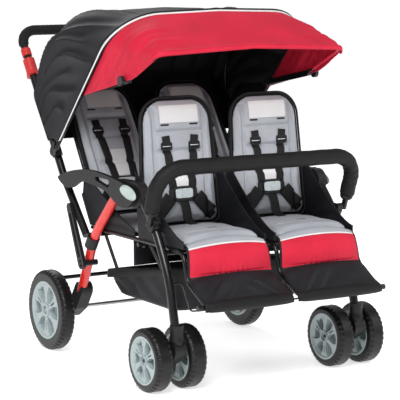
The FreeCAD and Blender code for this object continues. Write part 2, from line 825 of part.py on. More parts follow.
def canopy():
    """The hood: a fan of thin hoops about the pivot, closed behind and open in front and below."""
    cover = BOW_R + CLOTH_GAP + CLOTH_T
    sections = []
    for angle, height, corner in zip(FAN_ANGLES, FAN_HEIGHT_SHARES, FAN_CORNER_SHARES):
        lean = math.radians(angle)
        behind = (BOW_R + EYE_BITE) * (angle == FAN_ANGLES[0])
        shift = Vector(0, math.sin(lean), -math.cos(lean)) * behind
        low = fan_point(angle, CANOPY_START, 0) + shift
        high = fan_point(angle, FRONT_BOW_H * height + cover, 0) + shift
        bend = BOW_CORNER * corner + cover
        sections.append(band(low, high, BOW_X + cover, bend, BOW_RISE, CLOTH_T))
    hood = Part.makeLoft(sections, True, False)
    corners, bends = arch(low, high, BOW_X + cover, bend, BOW_RISE)
    edges = bent_wire(corners, bends).Edges
    edges.append(Part.LineSegment(corners[-1], corners[0]).toShape())
    backward = Vector(0, math.sin(lean), -math.cos(lean)) * CLOTH_T
    return hood.fuse(Part.Face(Part.Wire(edges)).extrude(backward))


def bow_path(angle, height, corner):
    """The hoop of one bow in the fan."""
    return arch(fan_point(angle, 0, 0), fan_point(angle, height, 0), BOW_X, corner, BOW_RISE)


def front_bow():
    """The front hoop, with a drilled eye at each foot and a drilled arm for the visor on each side."""
    corners, bends = bow_path(FRONT_BOW_ANGLE, FRONT_BOW_H, BOW_CORNER)
    body = tube(corners, bends, BOW_R)
    root = fan_point(FRONT_BOW_ANGLE, KNOB_AT + EYE_R * 2, 0)
    for side in SIDES.values():
        x = side * BOW_X
        eye = rod(at(PIVOT, x - EYE_T / 2), at(PIVOT, x + EYE_T / 2), EYE_R)
        arm = capsule(root, KNOB, EYE_R, EYE_R, ARM_IN_T, ARM_IN_X)
        boss = rod(at(root, ARM_IN_X), at(root, BOW_X - BOW_R + EYE_BITE), EYE_R)
        extra = arm.fuse(boss)
        body = body.fuse([eye, extra if side > 0 else mirrored(extra)])
    for point in (PIVOT, KNOB):
        body = body.cut(rod(at(point, -FRAME_X * 2), at(point, FRAME_X * 2), PIN_R + RUNNING))
    return body


def rear_bow_foot():
    """Where the rear hoop's foot stands on its clamp."""
    return PIVOT + REAR_BOW_FOOT


def rear_bow():
    """The rear hoop, fixed to the clamps and bowed back at its sides."""
    hip = fan_point(HIP_ANGLE, FRONT_BOW_H * HIP_SHARE, 0)
    top = fan_point(REAR_BOW_ANGLE, FRONT_BOW_H * REAR_BOW_SHARE, 0)
    low = rear_bow_foot()
    corners = [
        at(low, -BOW_X),
        at(hip, -BOW_X),
        at(top, -BOW_X),
        at(top, BOW_X),
        at(hip, BOW_X),
        at(low, BOW_X),
    ]
    return tube(corners, [HIP_BEND, REAR_BOW_CORNER, REAR_BOW_CORNER, HIP_BEND], BOW_R)


def canopy_clamp(side, handle, bow):
    """The clamp on the handle tube: a split ring with a lug and pin for the front hoop."""
    x = side * FRAME_X
    along = (handle_corner(side) - at(KNUCKLE, x)).normalize()
    share = (PIVOT.z - KNUCKLE.z) / (HANDLE_Z - KNUCKLE.z)
    seat = at(KNUCKLE, x) + (handle_corner(side) - at(KNUCKLE, x)) * share
    ring = Part.makeCylinder(CLAMP_R, CLAMP_L, seat - along * (CLAMP_L / 2), along)
    lug_x = BOW_X - BOW_R - SOFT_GAP - CLAMP_LUG_T
    lug = capsule(seat, PIVOT, CLAMP_ARM_R, EYE_R, CLAMP_LUG_T, lug_x)
    pin = rod(at(PIVOT, lug_x), at(PIVOT, BOW_X + EYE_T / 2), PIN_R)
    low = rear_bow_foot()
    foot = rod(at(low, lug_x), at(low, BOW_X + BOW_R), CLAMP_FOOT_R)
    rest = capsule(seat, low, CLAMP_ARM_R, CLAMP_FOOT_R, CLAMP_LUG_T, lug_x)
    extras = lug.fuse([pin, foot, rest])
    if side < 0:
        extras = mirrored(extras)
    return ring.fuse(extras).cut(handle).cut(bow)


def visor_edge():
    """The lowest and highest points of the visor's front edge, in the middle plane."""
    ahead = Vector(0, -(BOW_R + CLOTH_T), 0)
    return at(VISOR_TIP, 0) + ahead, at(VISOR_CROWN, 0) + ahead


def visor_section(index):
    """One thin hoop of the visor, between the front bow and the visor bow."""
    share = VISOR_SHARES[index]
    ahead = Vector(0, -(BOW_R + CLOTH_T), 0)
    low = fan_point(FRONT_BOW_ANGLE, KNOB_AT, 0) + ahead
    high = fan_point(FRONT_BOW_ANGLE, FRONT_BOW_H, 0) + ahead
    tip, crown = visor_edge()
    lift = Z_AXIS * (VISOR_CORNER * VISOR_LIFT_SHARES[index])
    sag = Z_AXIS * (VISOR_CORNER * VISOR_SAG_SHARES[index])
    base = low + (tip - low) * share - sag
    top = high + (crown - high) * share + lift
    half = BOW_X * VISOR_HALF_SHARES[index]
    corner = BOW_CORNER * VISOR_CORNER_SHARES[index]
    return band(base, top, half, corner, BOW_RISE, CLOTH_T)


def visor():
    """The bright visor cloth between the front hoop and the visor hoop."""
    cloth = Part.makeLoft([visor_section(i) for i in range(len(VISOR_SHARES))], True, False)
    return largest(cloth.cut(rod(at(KNOB, -2 * BOW_X), at(KNOB, 2 * BOW_X), PIN_R + 2 * SOFT_GAP)))


def visor_bow():
    """The thin hoop in the visor's front edge, with an eye, a pin and a round knob at each foot."""
    eye_x = ARM_IN_X - SOFT_GAP - EYE_T
    foot_x = eye_x + EYE_T / 2
    low, high = visor_edge()
    down = (low - high).normalize()
    crown = high + down * (2 * CLOTH_T + VISOR_BOW_R)
    shoulder = crown + down * BOW_RISE
    corners = [
        at(KNOB, -foot_x),
        at(shoulder, -foot_x),
        at(crown, 0),
        at(shoulder, foot_x),
        at(KNOB, foot_x),
    ]
    body = tube(corners, [VISOR_CORNER, foot_x, VISOR_CORNER], VISOR_BOW_R)
    for side in SIDES.values():
        eye = rod(at(KNOB, side * eye_x), at(KNOB, side * (eye_x + EYE_T)), EYE_R)
        pin = rod(at(KNOB, side * eye_x), at(KNOB, side * (BOW_X + KNOB_T)), PIN_R)
        knob = rod(at(KNOB, side * (BOW_X + SOFT_GAP)), at(KNOB, side * (BOW_X + KNOB_T)), KNOB_R)
        body = body.fuse([eye, pin, knob])
    return body


# Belly bar

def belly_path(start):
    """The bar's corners, from start up the side to the other side."""
    up = (BELLY_TOP - BELLY_END).normalize()
    low = BELLY_END + up * start
    corners = [
        at(low, -BELLY_X),
        at(BELLY_TOP, -BELLY_X),
        at(BELLY_TOP, BELLY_X),
        at(low, BELLY_X),
    ]
    return corners, [BELLY_BEND, BELLY_BEND]


def belly_tube():
    """The bar's tube, drilled at both ends for the bracket pins."""
    corners, bends = belly_path(-BELLY_TUBE_R)
    body = tube(corners, bends, BELLY_TUBE_R)
    reach = BELLY_X + BELLY_PAD_R
    return body.cut(rod(at(BELLY_END, -reach), at(BELLY_END, reach), PIN_R + RUNNING))


def belly_pad():
    """The foam and cloth sleeve over the bar."""
    corners, bends = belly_path(BELLY_PAD_START)
    return tube(corners, bends, BELLY_PAD_R).cut(tube(corners, bends, BELLY_TUBE_R + RUNNING))


def belly_bracket(side, leg):
    """The bracket on the front leg: a ring round the tube with a lug and pin for the bar."""
    x = side * FRAME_X
    along = (FRONT_LEG_KNEE - FRONT_LEG_TOP).normalize()
    near = FRONT_LEG_TOP + along * ((BELLY_END - FRONT_LEG_TOP).dot(along) - BELLY_RING_L / 2)
    ring = Part.makeCylinder(BELLY_RING_R, BELLY_RING_L, at(near, x), along)
    lug_x = BELLY_X - BELLY_TUBE_R - BELLY_LUG_GAP
    lug_t = lug_x - FRAME_X
    seat = near + along * (BELLY_RING_L / 2)
    lug = capsule(seat, BELLY_END, BELLY_RING_R, BELLY_TUBE_R, lug_t, FRAME_X)
    pin = rod(at(BELLY_END, lug_x - lug_t / 2), at(BELLY_END, BELLY_X + BELLY_TUBE_R), PIN_R)
    extra = lug.fuse(pin)
    if side < 0:
        extra = mirrored(extra)
    return ring.fuse(extra).cut(leg)


# Seats

def rounded_panel(half_low, half_high, height, corner_low, corner_high, inset, lift):
    """A panel outline with four rounded corners, at lift above its own plane."""
    low = half_low - inset
    high = half_high - inset
    floor = inset
    top = height - inset
    corners = [
        Vector(0, floor, lift),
        Vector(low, floor, lift),
        Vector(high, top, lift),
        Vector(-high, top, lift),
        Vector(-low, floor, lift),
        Vector(0, floor, lift),
    ]
    low_bend = corner_low - inset / 2
    high_bend = corner_high - inset / 2
    bends = [low_bend, high_bend, high_bend, low_bend]
    return bent_wire(corners, bends)


def cushion(half_low, half_high, height, corner_low, corner_high, thickness, inset):
    """A cushion: full at the middle of its thickness, drawn in to both faces."""
    wires = [
        rounded_panel(half_low, half_high, height, corner_low, corner_high, inset, 0),
        rounded_panel(half_low, half_high, height, corner_low, corner_high, 0, thickness * CROWN_SHARE),
        rounded_panel(half_low, half_high, height, corner_low, corner_high, inset * FACE_SHARE, thickness),
    ]
    return Part.makeLoft(wires, True, False)


def back_cushion(row):
    """The padded back: crowned, narrower at the top, with two upright and three cross channels."""
    height = BACK_HEIGHTS[row]
    half = BACK_HALVES[row]
    top_half = half * BACK_TAPER_SHARE
    body = cushion(half, top_half, height, PAD_CORNER, BACK_CORNER, PAD_T, PAD_INSET)
    x = half * SIDE_CHANNEL_SHARE
    for side in SIDES.values():
        groove = rod(
            Vector(side * x, -OVERRUN, PAD_T), Vector(side * x, height + OVERRUN, PAD_T), CHANNEL
        )
        body = body.cut(groove)
    for share in BACK_CHANNEL_SHARES:
        y = height * share
        body = body.cut(rod(Vector(-x, y, PAD_T), Vector(x, y, PAD_T), CHANNEL))
    return body


def seat_cushion():
    """The seat cushion, crowned, with one cross channel behind its front roll."""
    body = cushion(PAD_HALF, PAD_HALF, SEAT_DEPTH, PAD_CORNER, PAD_CORNER, PAD_T, PAD_INSET)
    y = SEAT_DEPTH * SIDE_CHANNEL_SHARE
    groove = rod(Vector(-PAD_HALF, y, PAD_T), Vector(PAD_HALF, y, PAD_T), CHANNEL)
    return body.cut(groove)


def lean_of(row):
    """The directions along a row's back: up it, and out of its front face."""
    turn = Rotation(X_AXIS, -LEANS[row])
    return turn.multVec(Z_AXIS), turn.multVec(Vector(0, -1, 0))


def back_turn(row):
    """The turn that stands a flat panel up along a row's back."""
    return Rotation(X_AXIS, 90 - LEANS[row])


def back_shift(row):
    """How far behind the bight the cloth back stands, at the level of the seat's cloth."""
    return (PAD_T + SOFT_GAP) / math.cos(math.radians(LEANS[row]))


def sling_back(row):
    """The cloth back of one seat, a thin sheet with two rounded top corners."""
    half = SLING_HALF - WING_T - SOFT_GAP
    height = BACK_HEIGHTS[row] + PAD_T + PAD_INSET
    up, out = lean_of(row)
    loop = rounded_panel(half, half - PAD_INSET, height, OVERRUN, BACK_CORNER, 0, 0)
    sheet = Part.Face(loop).extrude(Z_AXIS * SLING_T)
    start = Vector(0, back_shift(row), 0) + up * (SLING_T + SOFT_GAP) - out * SLING_T
    return placed(sheet, start, back_turn(row))


def sling_base(row):
    """The cloth base of one seat with its two side wings."""
    depth = SEAT_DEPTH + back_shift(row) - SEAT_END_GAP
    base = Part.makeBox(2 * SLING_HALF, depth, SLING_T, Vector(-SLING_HALF, -SEAT_DEPTH, 0))
    wing = wing_plate(row)
    return base.fuse([wing, mirrored(wing)])


def wing_plate(row):
    """The side wing: a soft triangle from the seat's front corner up to the back."""
    up = lean_of(row)[0]
    foot = Vector(0, back_shift(row) - SEAT_END_GAP, 0)
    front = Vector(0, -SEAT_DEPTH, 0)
    points = [
        front,
        front + Z_AXIS * PAD_T,
        Vector(0, -SEAT_DEPTH * WING_KINK_SHARE, WING_H * WING_KINK_SHARE),
        foot + up * WING_H,
        foot,
    ]
    return plate(points, WING_T, SLING_HALF - WING_T)


def seat_origin(side, row):
    """The bight of one seat, at the top of its rails."""
    return Vector(side * SEAT_X, BIGHT_Y + ROWS[row], RAIL_Z + RAIL_R + SOFT_GAP)


def placed(shape, origin, turn):
    """A copy of a shape, turned and moved to origin."""
    copy = shape.copy()
    copy.Placement = Placement(origin, turn).multiply(shape.Placement)
    return copy


def seat_pad(side, row):
    """The cushion of one seat."""
    start = seat_origin(side, row) + Vector(0, -SEAT_DEPTH, SLING_T + SOFT_GAP)
    return placed(seat_cushion(), start, Rotation())


def back_pad(side, row):
    """The cushion of one back, standing just above the seat's cushion."""
    up, out = lean_of(row)
    rise = SLING_T + SOFT_GAP + PAD_T + SOFT_GAP
    start = seat_origin(side, row) + Vector(0, back_shift(row), 0) + up * rise + out * SOFT_GAP
    return placed(back_cushion(row), start, back_turn(row)).cut(seat_pad(side, row))


def hoop_foot(row):
    """Where the centre of a back's hoop meets the centre of its cross tube, at x 0."""
    up, out = lean_of(row)
    start = seat_origin(0, row) + Vector(0, back_shift(row), 0)
    start = start - out * (SLING_T + SOFT_GAP + BACK_TUBE_R)
    return start - up * ((start.z - CROSS_Z) / up.z)


def back_frame(side, row):
    """The hoop of tube behind one back, with an eye at each foot round its cross tube."""
    up = lean_of(row)[0]
    low = hoop_foot(row) + X_AXIS * (side * SEAT_X)
    high = low + up * (BACK_HEIGHTS[row] + RAIL_R)
    corners = [
        low + X_AXIS * -BACK_TUBE_HALF,
        high + X_AXIS * -BACK_TUBE_HALF,
        high + X_AXIS * BACK_TUBE_HALF,
        low + X_AXIS * BACK_TUBE_HALF,
    ]
    body = tube(corners, [BACK_CORNER, BACK_CORNER], BACK_TUBE_R)
    for away in SIDES.values():
        x = side * SEAT_X + away * BACK_TUBE_HALF
        foot = at(low, x - EYE_L / 2)
        body = body.fuse(rod(foot, foot + X_AXIS * EYE_L, CROSS_R + EYE_WALL))
    bore = rod(at(low, -FRAME_X), at(low, FRAME_X), CROSS_R + RUNNING)
    return body.cut(bore)


def cross_tube_places():
    """Where the four cross tubes run, as (y, half length)."""
    return [
        (leg_y_at(CROSS_Z, FRONT_LEG_KNEE, FRONT_LEG_SHIN), FRAME_X),
        (hoop_foot("front").y, RAIL_OUT_X + RAIL_R),
        (leg_y_at(CROSS_Z, REAR_LEG_KNEE, REAR_LEG_TOP), REAR_KNEE_X),
        (hoop_foot("rear").y, RAIL_OUT_X + RAIL_R),
    ]


def leg_y_at(height, low, high):
    """The y of a leg's run at a height, from two of its corners."""
    share = (height - low.z) / (high.z - low.z)
    return low.y + (high.y - low.y) * share


def cross_tubes(tools):
    """The cross tubes under the seat rails, cut to the legs that they meet."""
    tubes = []
    for y, half in cross_tube_places():
        bar = rod(Vector(-half, y, CROSS_Z), Vector(half, y, CROSS_Z), CROSS_R)
        tubes.append(largest(soft_cut(bar, tools)))
    return Part.makeCompound(tubes)


def seat_frame(side, legs):
    """One side's seat rails, the footrest loop in front and the wire stay below it."""
    outer = side * RAIL_OUT_X
    inner = side * RAIL_IN_X
    corners = [
        Vector(outer, RAIL_BACK_Y, RAIL_Z),
        Vector(outer, RAIL_FRONT_Y, RAIL_Z),
        Vector(outer, SHIN_Y, SHIN_Z),
        Vector(outer, FOOT_Y, FOOT_Z),
        Vector(inner, FOOT_Y, FOOT_Z),
        Vector(inner, SHIN_Y, SHIN_Z),
        Vector(inner, RAIL_FRONT_Y, RAIL_Z),
        Vector(inner, RAIL_BACK_Y, RAIL_Z),
    ]
    bends = [RAIL_BEND, RAIL_BEND, FOOT_BEND, FOOT_BEND, RAIL_BEND, RAIL_BEND]
    rails = tube(corners, bends, RAIL_R)
    sleeve = rod(
        Vector(side * (RAIL_IN_X - RAIL_R / 2), FOOT_Y, FOOT_Z),
        Vector(side * (FRAME_X + FOOT_R), FOOT_Y, FOOT_Z),
        FOOT_R,
    )
    wire = foot_wire(side)
    return largest(soft_cut(rails.fuse([sleeve, wire]), legs))


def foot_wire(side):
    """The thin wire stay: from the front leg, down in front and back up to the inner rail."""
    out = side * FOOT_WIRE_X
    inn = side * FOOT_WIRE_IN_X
    share = RAIL_BEND / 2 / (RAIL_Z - SHIN_Z)
    rail_y = SHIN_Y + (RAIL_FRONT_Y - SHIN_Y) * share
    rail_z = SHIN_Z + RAIL_BEND / 2
    corners = [
        Vector(side * (FRAME_X - LEG_R / 2), FOOT_WIRE_BACK_Y, FOOT_WIRE_BACK_Z),
        Vector(out, FOOT_WIRE_BACK_Y, FOOT_WIRE_BACK_Z),
        Vector(out, FOOT_WIRE_Y, FOOT_WIRE_Z),
        Vector(inn, FOOT_WIRE_Y, FOOT_WIRE_Z),
        Vector(inn, rail_y, rail_z),
        Vector(side * RAIL_IN_X, rail_y, rail_z),
    ]
    return tube(corners, [FOOT_WIRE_BEND, FOOT_WIRE_BEND, FOOT_WIRE_BEND, FOOT_WIRE_BEND], WIRE_R)


def calf_places():
    """Where the leg panel bends, as (y, z, width, thickness): over the rail, the shin, the foot tube."""
    spots = [(RAIL_FRONT_Y + y * RAIL_R, RAIL_Z + z * RAIL_R) for y, z in CALF_RAIL_SHARES]
    spots += [(SHIN_Y + y * RAIL_R, SHIN_Z + z * RAIL_R) for y, z in CALF_SHIN_SHARES]
    spots += [(FOOT_Y + y * FOOT_R, FOOT_Z + z * FOOT_R) for y, z in CALF_FOOT_SHARES]
    return [(*spot, *form) for spot, form in zip(spots, CALF_FORM_SHARES)]


def strip(places, half, thick, x):
    """A padded strip lofted through flat lens sections, given as (y, z, width, thickness) shares."""
    wires = []
    for i, (y, z, width, full) in enumerate(places):
        before = places[max(i - 1, 0)]
        after = places[min(i + 1, len(places) - 1)]
        along = Vector(0, after[0] - before[0], after[1] - before[1]).normalize()
        normal = along.cross(X_AXIS)
        centre = Vector(x, y, z)
        side = X_AXIS * (half * width)
        up = normal * (thick * full / 2)
        edge = normal * (thick * full * SEAM_SHARE)
        wires.append(
            Part.Wire(
                [
                    Part.Arc(centre - side + edge, centre + up, centre + side + edge).toShape(),
                    Part.LineSegment(centre + side + edge, centre + side - edge).toShape(),
                    Part.Arc(centre + side - edge, centre - up, centre - side - edge).toShape(),
                    Part.LineSegment(centre - side - edge, centre - side + edge).toShape(),
                ]
            )
        )
    return Part.makeLoft(wires, True, False)


def front_calf(side, tools):
    """The padded leg panel from a front seat down to its footrest."""
    half = (FRAME_X - RAIL_IN_X) / 2 - OVERRUN * 2
    panel = strip(calf_places(), half, CALF_TOP_T, side * CALF_X)
    return largest(soft_cut(panel, tools))


def rear_calf(side):
    """The cloth foot panel that hangs in front of a rear seat."""
    start_y = BIGHT_Y + ROW_STEP - SEAT_DEPTH + REAR_CALF_SET_BACK
    start_z = RAIL_Z - RAIL_R - SOFT_GAP / 2
    places = [
        (start_y - along * REAR_CALF_L, start_z + drop * REAR_CALF_L, 1, FACE_SHARE / 2)
        for along, drop in REAR_CALF_SHARES
    ]
    return strip(places, SLING_HALF - OVERRUN, CALF_TOP_T, side * SEAT_X)


# Basket

def basket_ring(share, inset, lift):
    """A rounded rectangle between the basket's base (share 0) and its rim (share 1)."""
    half = BASKET_BASE_HALF + (BASKET_HALF - BASKET_BASE_HALF) * share - inset
    back = BASKET_BASE_BACK + (BASKET_BACK - BASKET_BASE_BACK) * share - inset
    front = BASKET_BASE_FRONT + (BASKET_FRONT - BASKET_BASE_FRONT) * share + inset
    back_z = BASKET_BASE_Z + (BASKET_TOP_BACK_Z - BASKET_BASE_Z) * share + lift
    front_z = BASKET_BASE_Z + (BASKET_TOP_FRONT_Z - BASKET_BASE_Z) * share + lift
    corners = [
        Vector(0, front, front_z),
        Vector(half, front, front_z),
        Vector(half, back, back_z),
        Vector(-half, back, back_z),
        Vector(-half, front, front_z),
        Vector(0, front, front_z),
    ]
    return bent_wire(corners, [BASKET_CORNER - inset] * 4)


def basket():
    """The cloth basket: a tapered tub, open at the top, hung from the rails by four straps."""
    outer = Part.makeLoft([basket_ring(0, 0, 0), basket_ring(1, 0, 0)], True, True)
    inner_rings = [basket_ring(0, BASKET_T, BASKET_T), basket_ring(1, BASKET_T, BASKET_T)]
    inner = Part.makeLoft(inner_rings, True, True)
    tub = outer.cut(inner)
    for side in SIDES.values():
        for share in HANGER_SHARES:
            y = BASKET_FRONT + (BASKET_BACK - BASKET_FRONT) * share
            rim_z = BASKET_TOP_FRONT_Z + (BASKET_TOP_BACK_Z - BASKET_TOP_FRONT_Z) * share
            depth = 1 - HANGER_W / (rim_z - BASKET_BASE_Z)
            half = BASKET_BASE_HALF + (BASKET_HALF - BASKET_BASE_HALF) * depth
            low = Vector(side * (half - BASKET_T / 2), y, rim_z - HANGER_W)
            high = Vector(side * RAIL_OUT_X, y, RAIL_Z - RAIL_R)
            across = Vector(0, HANGER_W / 2, 0)
            thick = X_AXIS * (-side * HANGER_T)
            loop = Part.makePolygon([low - across, high - across, high + across, low + across, low - across])
            tub = tub.fuse(Part.Face(loop).extrude(thick))
    return tub


# Harness

def strap_face(side, row):
    """A point on the front face of a back's cushion, level with the top of the seat cushion."""
    up, out = lean_of(row)
    rise = SLING_T + SOFT_GAP + PAD_T + SOFT_GAP
    start = seat_origin(side, row) + Vector(0, back_shift(row), 0)
    return start + up * rise + out * (SOFT_GAP + PAD_T + SOFT_GAP)


def shoulder_straps(side, row):
    """The two shoulder straps of one harness, flat on the back's cushion."""
    up = lean_of(row)[0]
    top = BACK_HEIGHTS[row] * SHOULDER_TOP_SHARE
    straps = []
    for away in SIDES.values():
        foot = strap_face(side, row) + X_AXIS * (away * SHOULDER_X - WEB_W / 2) + up * SHOULDER_END
        strap = Part.makeBox(WEB_W, top - SHOULDER_END, WEB_STRAP_T)
        straps.append(placed(strap, foot, back_turn(row)))
    return straps


def crotch_strap(side, row):
    """The strap that comes up through the seat's cushion."""
    seat_top = SLING_T + SOFT_GAP + PAD_T + SOFT_GAP
    start = Vector(-WEB_W / 2, -SEAT_DEPTH * CROTCH_START_SHARE, seat_top)
    length = SEAT_DEPTH * CROTCH_LENGTH_SHARE
    return Part.makeBox(WEB_W, length, WEB_STRAP_T, seat_origin(side, row) + start)


def buckle(side, row):
    """The buckle in front of the rider's lap, a rounded block."""
    up = lean_of(row)[0]
    body = Part.makeBox(BUCKLE_W, BUCKLE_H, BUCKLE_T)
    body = body.makeFillet(BUCKLE_T * BUCKLE_ROUND_SHARE, body.Edges)
    rise = SHOULDER_END - BUCKLE_H - SOFT_GAP
    start = strap_face(side, row) + up * rise + X_AXIS * (-BUCKLE_W / 2)
    return placed(body, start, back_turn(row))


# The whole stroller

def build():
    """Every named piece, as a dictionary from its name to its shape."""
    sides = SIDES.values()
    group = Part.makeCompound
    handle = handle_tube()
    axle = rear_axle()
    bow = rear_bow()
    front_legs = [front_leg(side) for side in sides]
    rear_legs = [rear_leg(side) for side in sides]
    legs = front_legs + rear_legs
    collars = [latch_collar(side, leg) for side, leg in zip(sides, rear_legs)]
    pieces = {
        "handle_tube": handle,
        "handle_grip": handle_grip(),
        "rear_axle": axle,
        "brake_bar": brake_bar(),
        "rear_bow": bow,
        "front_bow": front_bow(),
        "visor_bow": visor_bow(),
        "canopy": canopy(),
        "visor": visor(),
        "belly_bar_tube": belly_tube(),
        "belly_bar_pad": belly_pad(),
        "basket": basket(),
        "front_legs": group(front_legs),
        "rear_legs": group(rear_legs),
        "armrests": group([armrest(side, legs) for side in sides]),
        "armrest_caps": group([armrest_cap(side) for side in sides]),
        "caster_sockets": group([caster_socket(side, leg) for side, leg in zip(sides, front_legs)]),
        "rear_boots": group([rear_boot(side, leg, axle) for side, leg in zip(sides, rear_legs)]),
        "latch_collars": group([solid for collar in collars for solid in collar.Solids]),
        "canopy_clamps": group([canopy_clamp(side, handle, bow) for side in sides]),
        "belly_brackets": group([belly_bracket(side, leg) for side, leg in zip(sides, front_legs)]),
        "cross_tubes": cross_tubes(legs),
        "rear_calf_panels": group([rear_calf(side) for side in sides]),
        "crotch_straps": group([crotch_strap(side, row) for row in ROWS for side in sides]),
    }
    for name, side in SIDES.items():
        pieces["fold_link_" + name] = fold_link(side)
        pieces["fold_trigger_" + name] = fold_trigger(side)
        pieces["seat_frame_" + name] = seat_frame(side, front_legs)
        pieces["caster_fork_" + name] = caster_fork(side)
        for place, rubber, wheel in caster_wheels(side):
            pieces["caster_tyre_" + name + "_" + place] = rubber
            pieces["caster_hub_" + name + "_" + place] = wheel
        centre = Vector(side * REAR_CENTRE_X, REAR_AXLE_Y, REAR_WHEEL_R)
        pieces["rear_tyre_" + name] = tyre(centre, REAR_WHEEL_R, REAR_RIM_R, REAR_TYRE_W)
        pieces["rear_hub_" + name] = hub(centre, REAR_RIM_R, REAR_TYRE_W, REAR_AXLE_R, side)
    for row in ROWS:
        seats = [seat_origin(side, row) for side in sides]
        straps = [strap for side in sides for strap in shoulder_straps(side, row)]
        pieces[row + "_seat_pads"] = group([seat_pad(side, row) for side in sides])
        pieces[row + "_back_pads"] = group([back_pad(side, row) for side in sides])
        pieces[row + "_back_frames"] = group([back_frame(side, row) for side in sides])
        pieces[row + "_slings"] = group([placed(sling_base(row), seat, Rotation()) for seat in seats])
        pieces[row + "_back_slings"] = group([placed(sling_back(row), seat, Rotation()) for seat in seats])
        pieces[row + "_shoulder_straps"] = group(straps)
        pieces[row + "_buckles"] = group([buckle(side, row) for side in sides])
    tools = [pieces["seat_frame_" + name] for name in SIDES]
    tools += pieces["front_seat_pads"].Solids + pieces["front_slings"].Solids
    pieces["front_calf_panels"] = group([front_calf(side, tools) for side in sides])
    return pieces


os.makedirs("parts", exist_ok=True)
for node, shape in build().items():
    shape.exportStep("parts/" + node + ".step")
    print(node, len(shape.Solids), "solids", shape.isValid())
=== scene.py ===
# %% [markdown]
# # A four-seat stroller, dressed in cloth and rubber
# The rigid parts of the stroller come from its CAD model: tubes, moulded joints, wheels and pins.
# What CAD draws stiffly is soft on the real thing: a nylon hood, quilted seats, webbing, a cloth basket.
# This file makes those soft pieces as surfaces worked out with numpy and gives every part its finish.

# %% Load the model
import json
import math
import bmesh
import bpy
import numpy as np
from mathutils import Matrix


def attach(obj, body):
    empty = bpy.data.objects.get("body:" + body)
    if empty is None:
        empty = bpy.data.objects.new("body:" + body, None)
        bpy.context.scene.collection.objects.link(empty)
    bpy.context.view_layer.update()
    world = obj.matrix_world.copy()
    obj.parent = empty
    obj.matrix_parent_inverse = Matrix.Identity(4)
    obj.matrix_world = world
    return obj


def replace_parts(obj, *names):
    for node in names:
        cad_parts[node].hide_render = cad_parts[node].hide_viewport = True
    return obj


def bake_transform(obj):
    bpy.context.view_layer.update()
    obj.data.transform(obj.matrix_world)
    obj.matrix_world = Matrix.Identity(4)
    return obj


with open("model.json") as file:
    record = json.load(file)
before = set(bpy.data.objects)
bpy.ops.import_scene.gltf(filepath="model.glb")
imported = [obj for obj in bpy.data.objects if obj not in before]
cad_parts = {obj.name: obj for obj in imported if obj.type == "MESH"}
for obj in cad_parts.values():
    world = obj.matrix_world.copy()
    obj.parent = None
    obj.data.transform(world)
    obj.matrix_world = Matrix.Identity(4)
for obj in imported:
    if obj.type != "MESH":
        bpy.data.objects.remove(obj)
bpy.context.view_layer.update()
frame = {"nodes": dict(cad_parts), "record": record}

# %% [markdown]
# ## Sizes shared by the pieces
# The CAD model is in millimetres, so the surfaces are worked out in millimetres too.
# They are turned into metres only when a mesh is made.

# %% Sizes
MM = 0.001
SIDES = {"right": -1, "left": 1}
ROWS = {"front": 0.0, "rear": 282.0}
LEAN = {"front": 6.0, "rear": 32.0}
BACK_H = {"front": 385.0, "rear": 455.0}
BACK_HALF = {"front": 137.0, "rear": 122.0}
SEAT_X = 158.0
SEAT_DEPTH = 228.0
PAD_T = 24.0
ROUND_LOW = 26.0
ROUND_HIGH = 74.0
PIVOT = np.array([0.0, 270.0, 628.0])
KNUCKLE = np.array([0.0, 249.0, 547.0])


def across(half, count=2):
    """Evenly spaced values from -half to half."""
    return np.linspace(-half, half, count)


def bump(value, centre, width):
    """A smooth bell: 1 at the centre, close to 0 two widths away."""
    return np.exp(-(((value - centre) / width) ** 2))


def ridge(value, centre, width):
    """A sharp crest: 1 on the line, falling by a factor e for every width away from it."""
    return np.exp(-np.abs(value - centre) / width)


def blend01(value, low, high):
    """A smooth step from 0 at low to 1 at high."""
    t = np.clip((value - low) / (high - low), 0, 1)
    return t * t * (3 - 2 * t)


# %% [markdown]
# ## From an array of points to a piece
# A surface here is an array of points with rows and columns. Joining each point to its neighbours
# gives four-sided faces. A row or a column can also be joined to the first one, for a closed ring.

# %% Mesh helpers
def lattice(rows, cols, ring_rows=False, ring_cols=False):
    """The corner numbers of the faces between neighbouring rows and columns."""
    index = np.arange(rows * cols).reshape(rows, cols)
    if ring_rows:
        index = np.vstack([index, index[:1]])
    if ring_cols:
        index = np.hstack([index, index[:, :1]])
    quads = [index[:-1, :-1], index[1:, :-1], index[1:, 1:], index[:-1, 1:]]
    return np.stack(quads, -1).reshape(-1, 4)


def solid_piece(name, points, faces, material, recalculate=True):
    """A smooth-shaded object from points in millimetres."""
    mesh = bpy.data.meshes.new(name)
    mesh.from_pydata((np.asarray(points).reshape(-1, 3) * MM).tolist(), [], np.asarray(faces).tolist())
    if recalculate:
        work = bmesh.new()
        work.from_mesh(mesh)
        bmesh.ops.remove_doubles(work, verts=work.verts, dist=1e-6)
        bmesh.ops.recalc_face_normals(work, faces=work.faces)
        work.to_mesh(mesh)
        work.free()
    mesh.polygons.foreach_set("use_smooth", np.ones(len(mesh.polygons), dtype=bool))
    mesh.materials.append(material)
    piece = bpy.data.objects.new(name, mesh)
    bpy.context.collection.objects.link(piece)
    return piece


def surface(name, points, material, ring_rows=False, ring_cols=False, thickness=0.0, levels=0):
    """A piece from a grid of points, with an optional wall and smoothing."""
    faces = lattice(points.shape[0], points.shape[1], ring_rows, ring_cols)
    piece = solid_piece(name, points, faces, material)
    if thickness:
        wall = piece.modifiers.new("wall", "SOLIDIFY")
        wall.thickness = thickness * MM
        wall.offset = 0
    if levels:
        soft = piece.modifiers.new("smooth", "SUBSURF")
        soft.levels = soft.render_levels = levels
    return piece


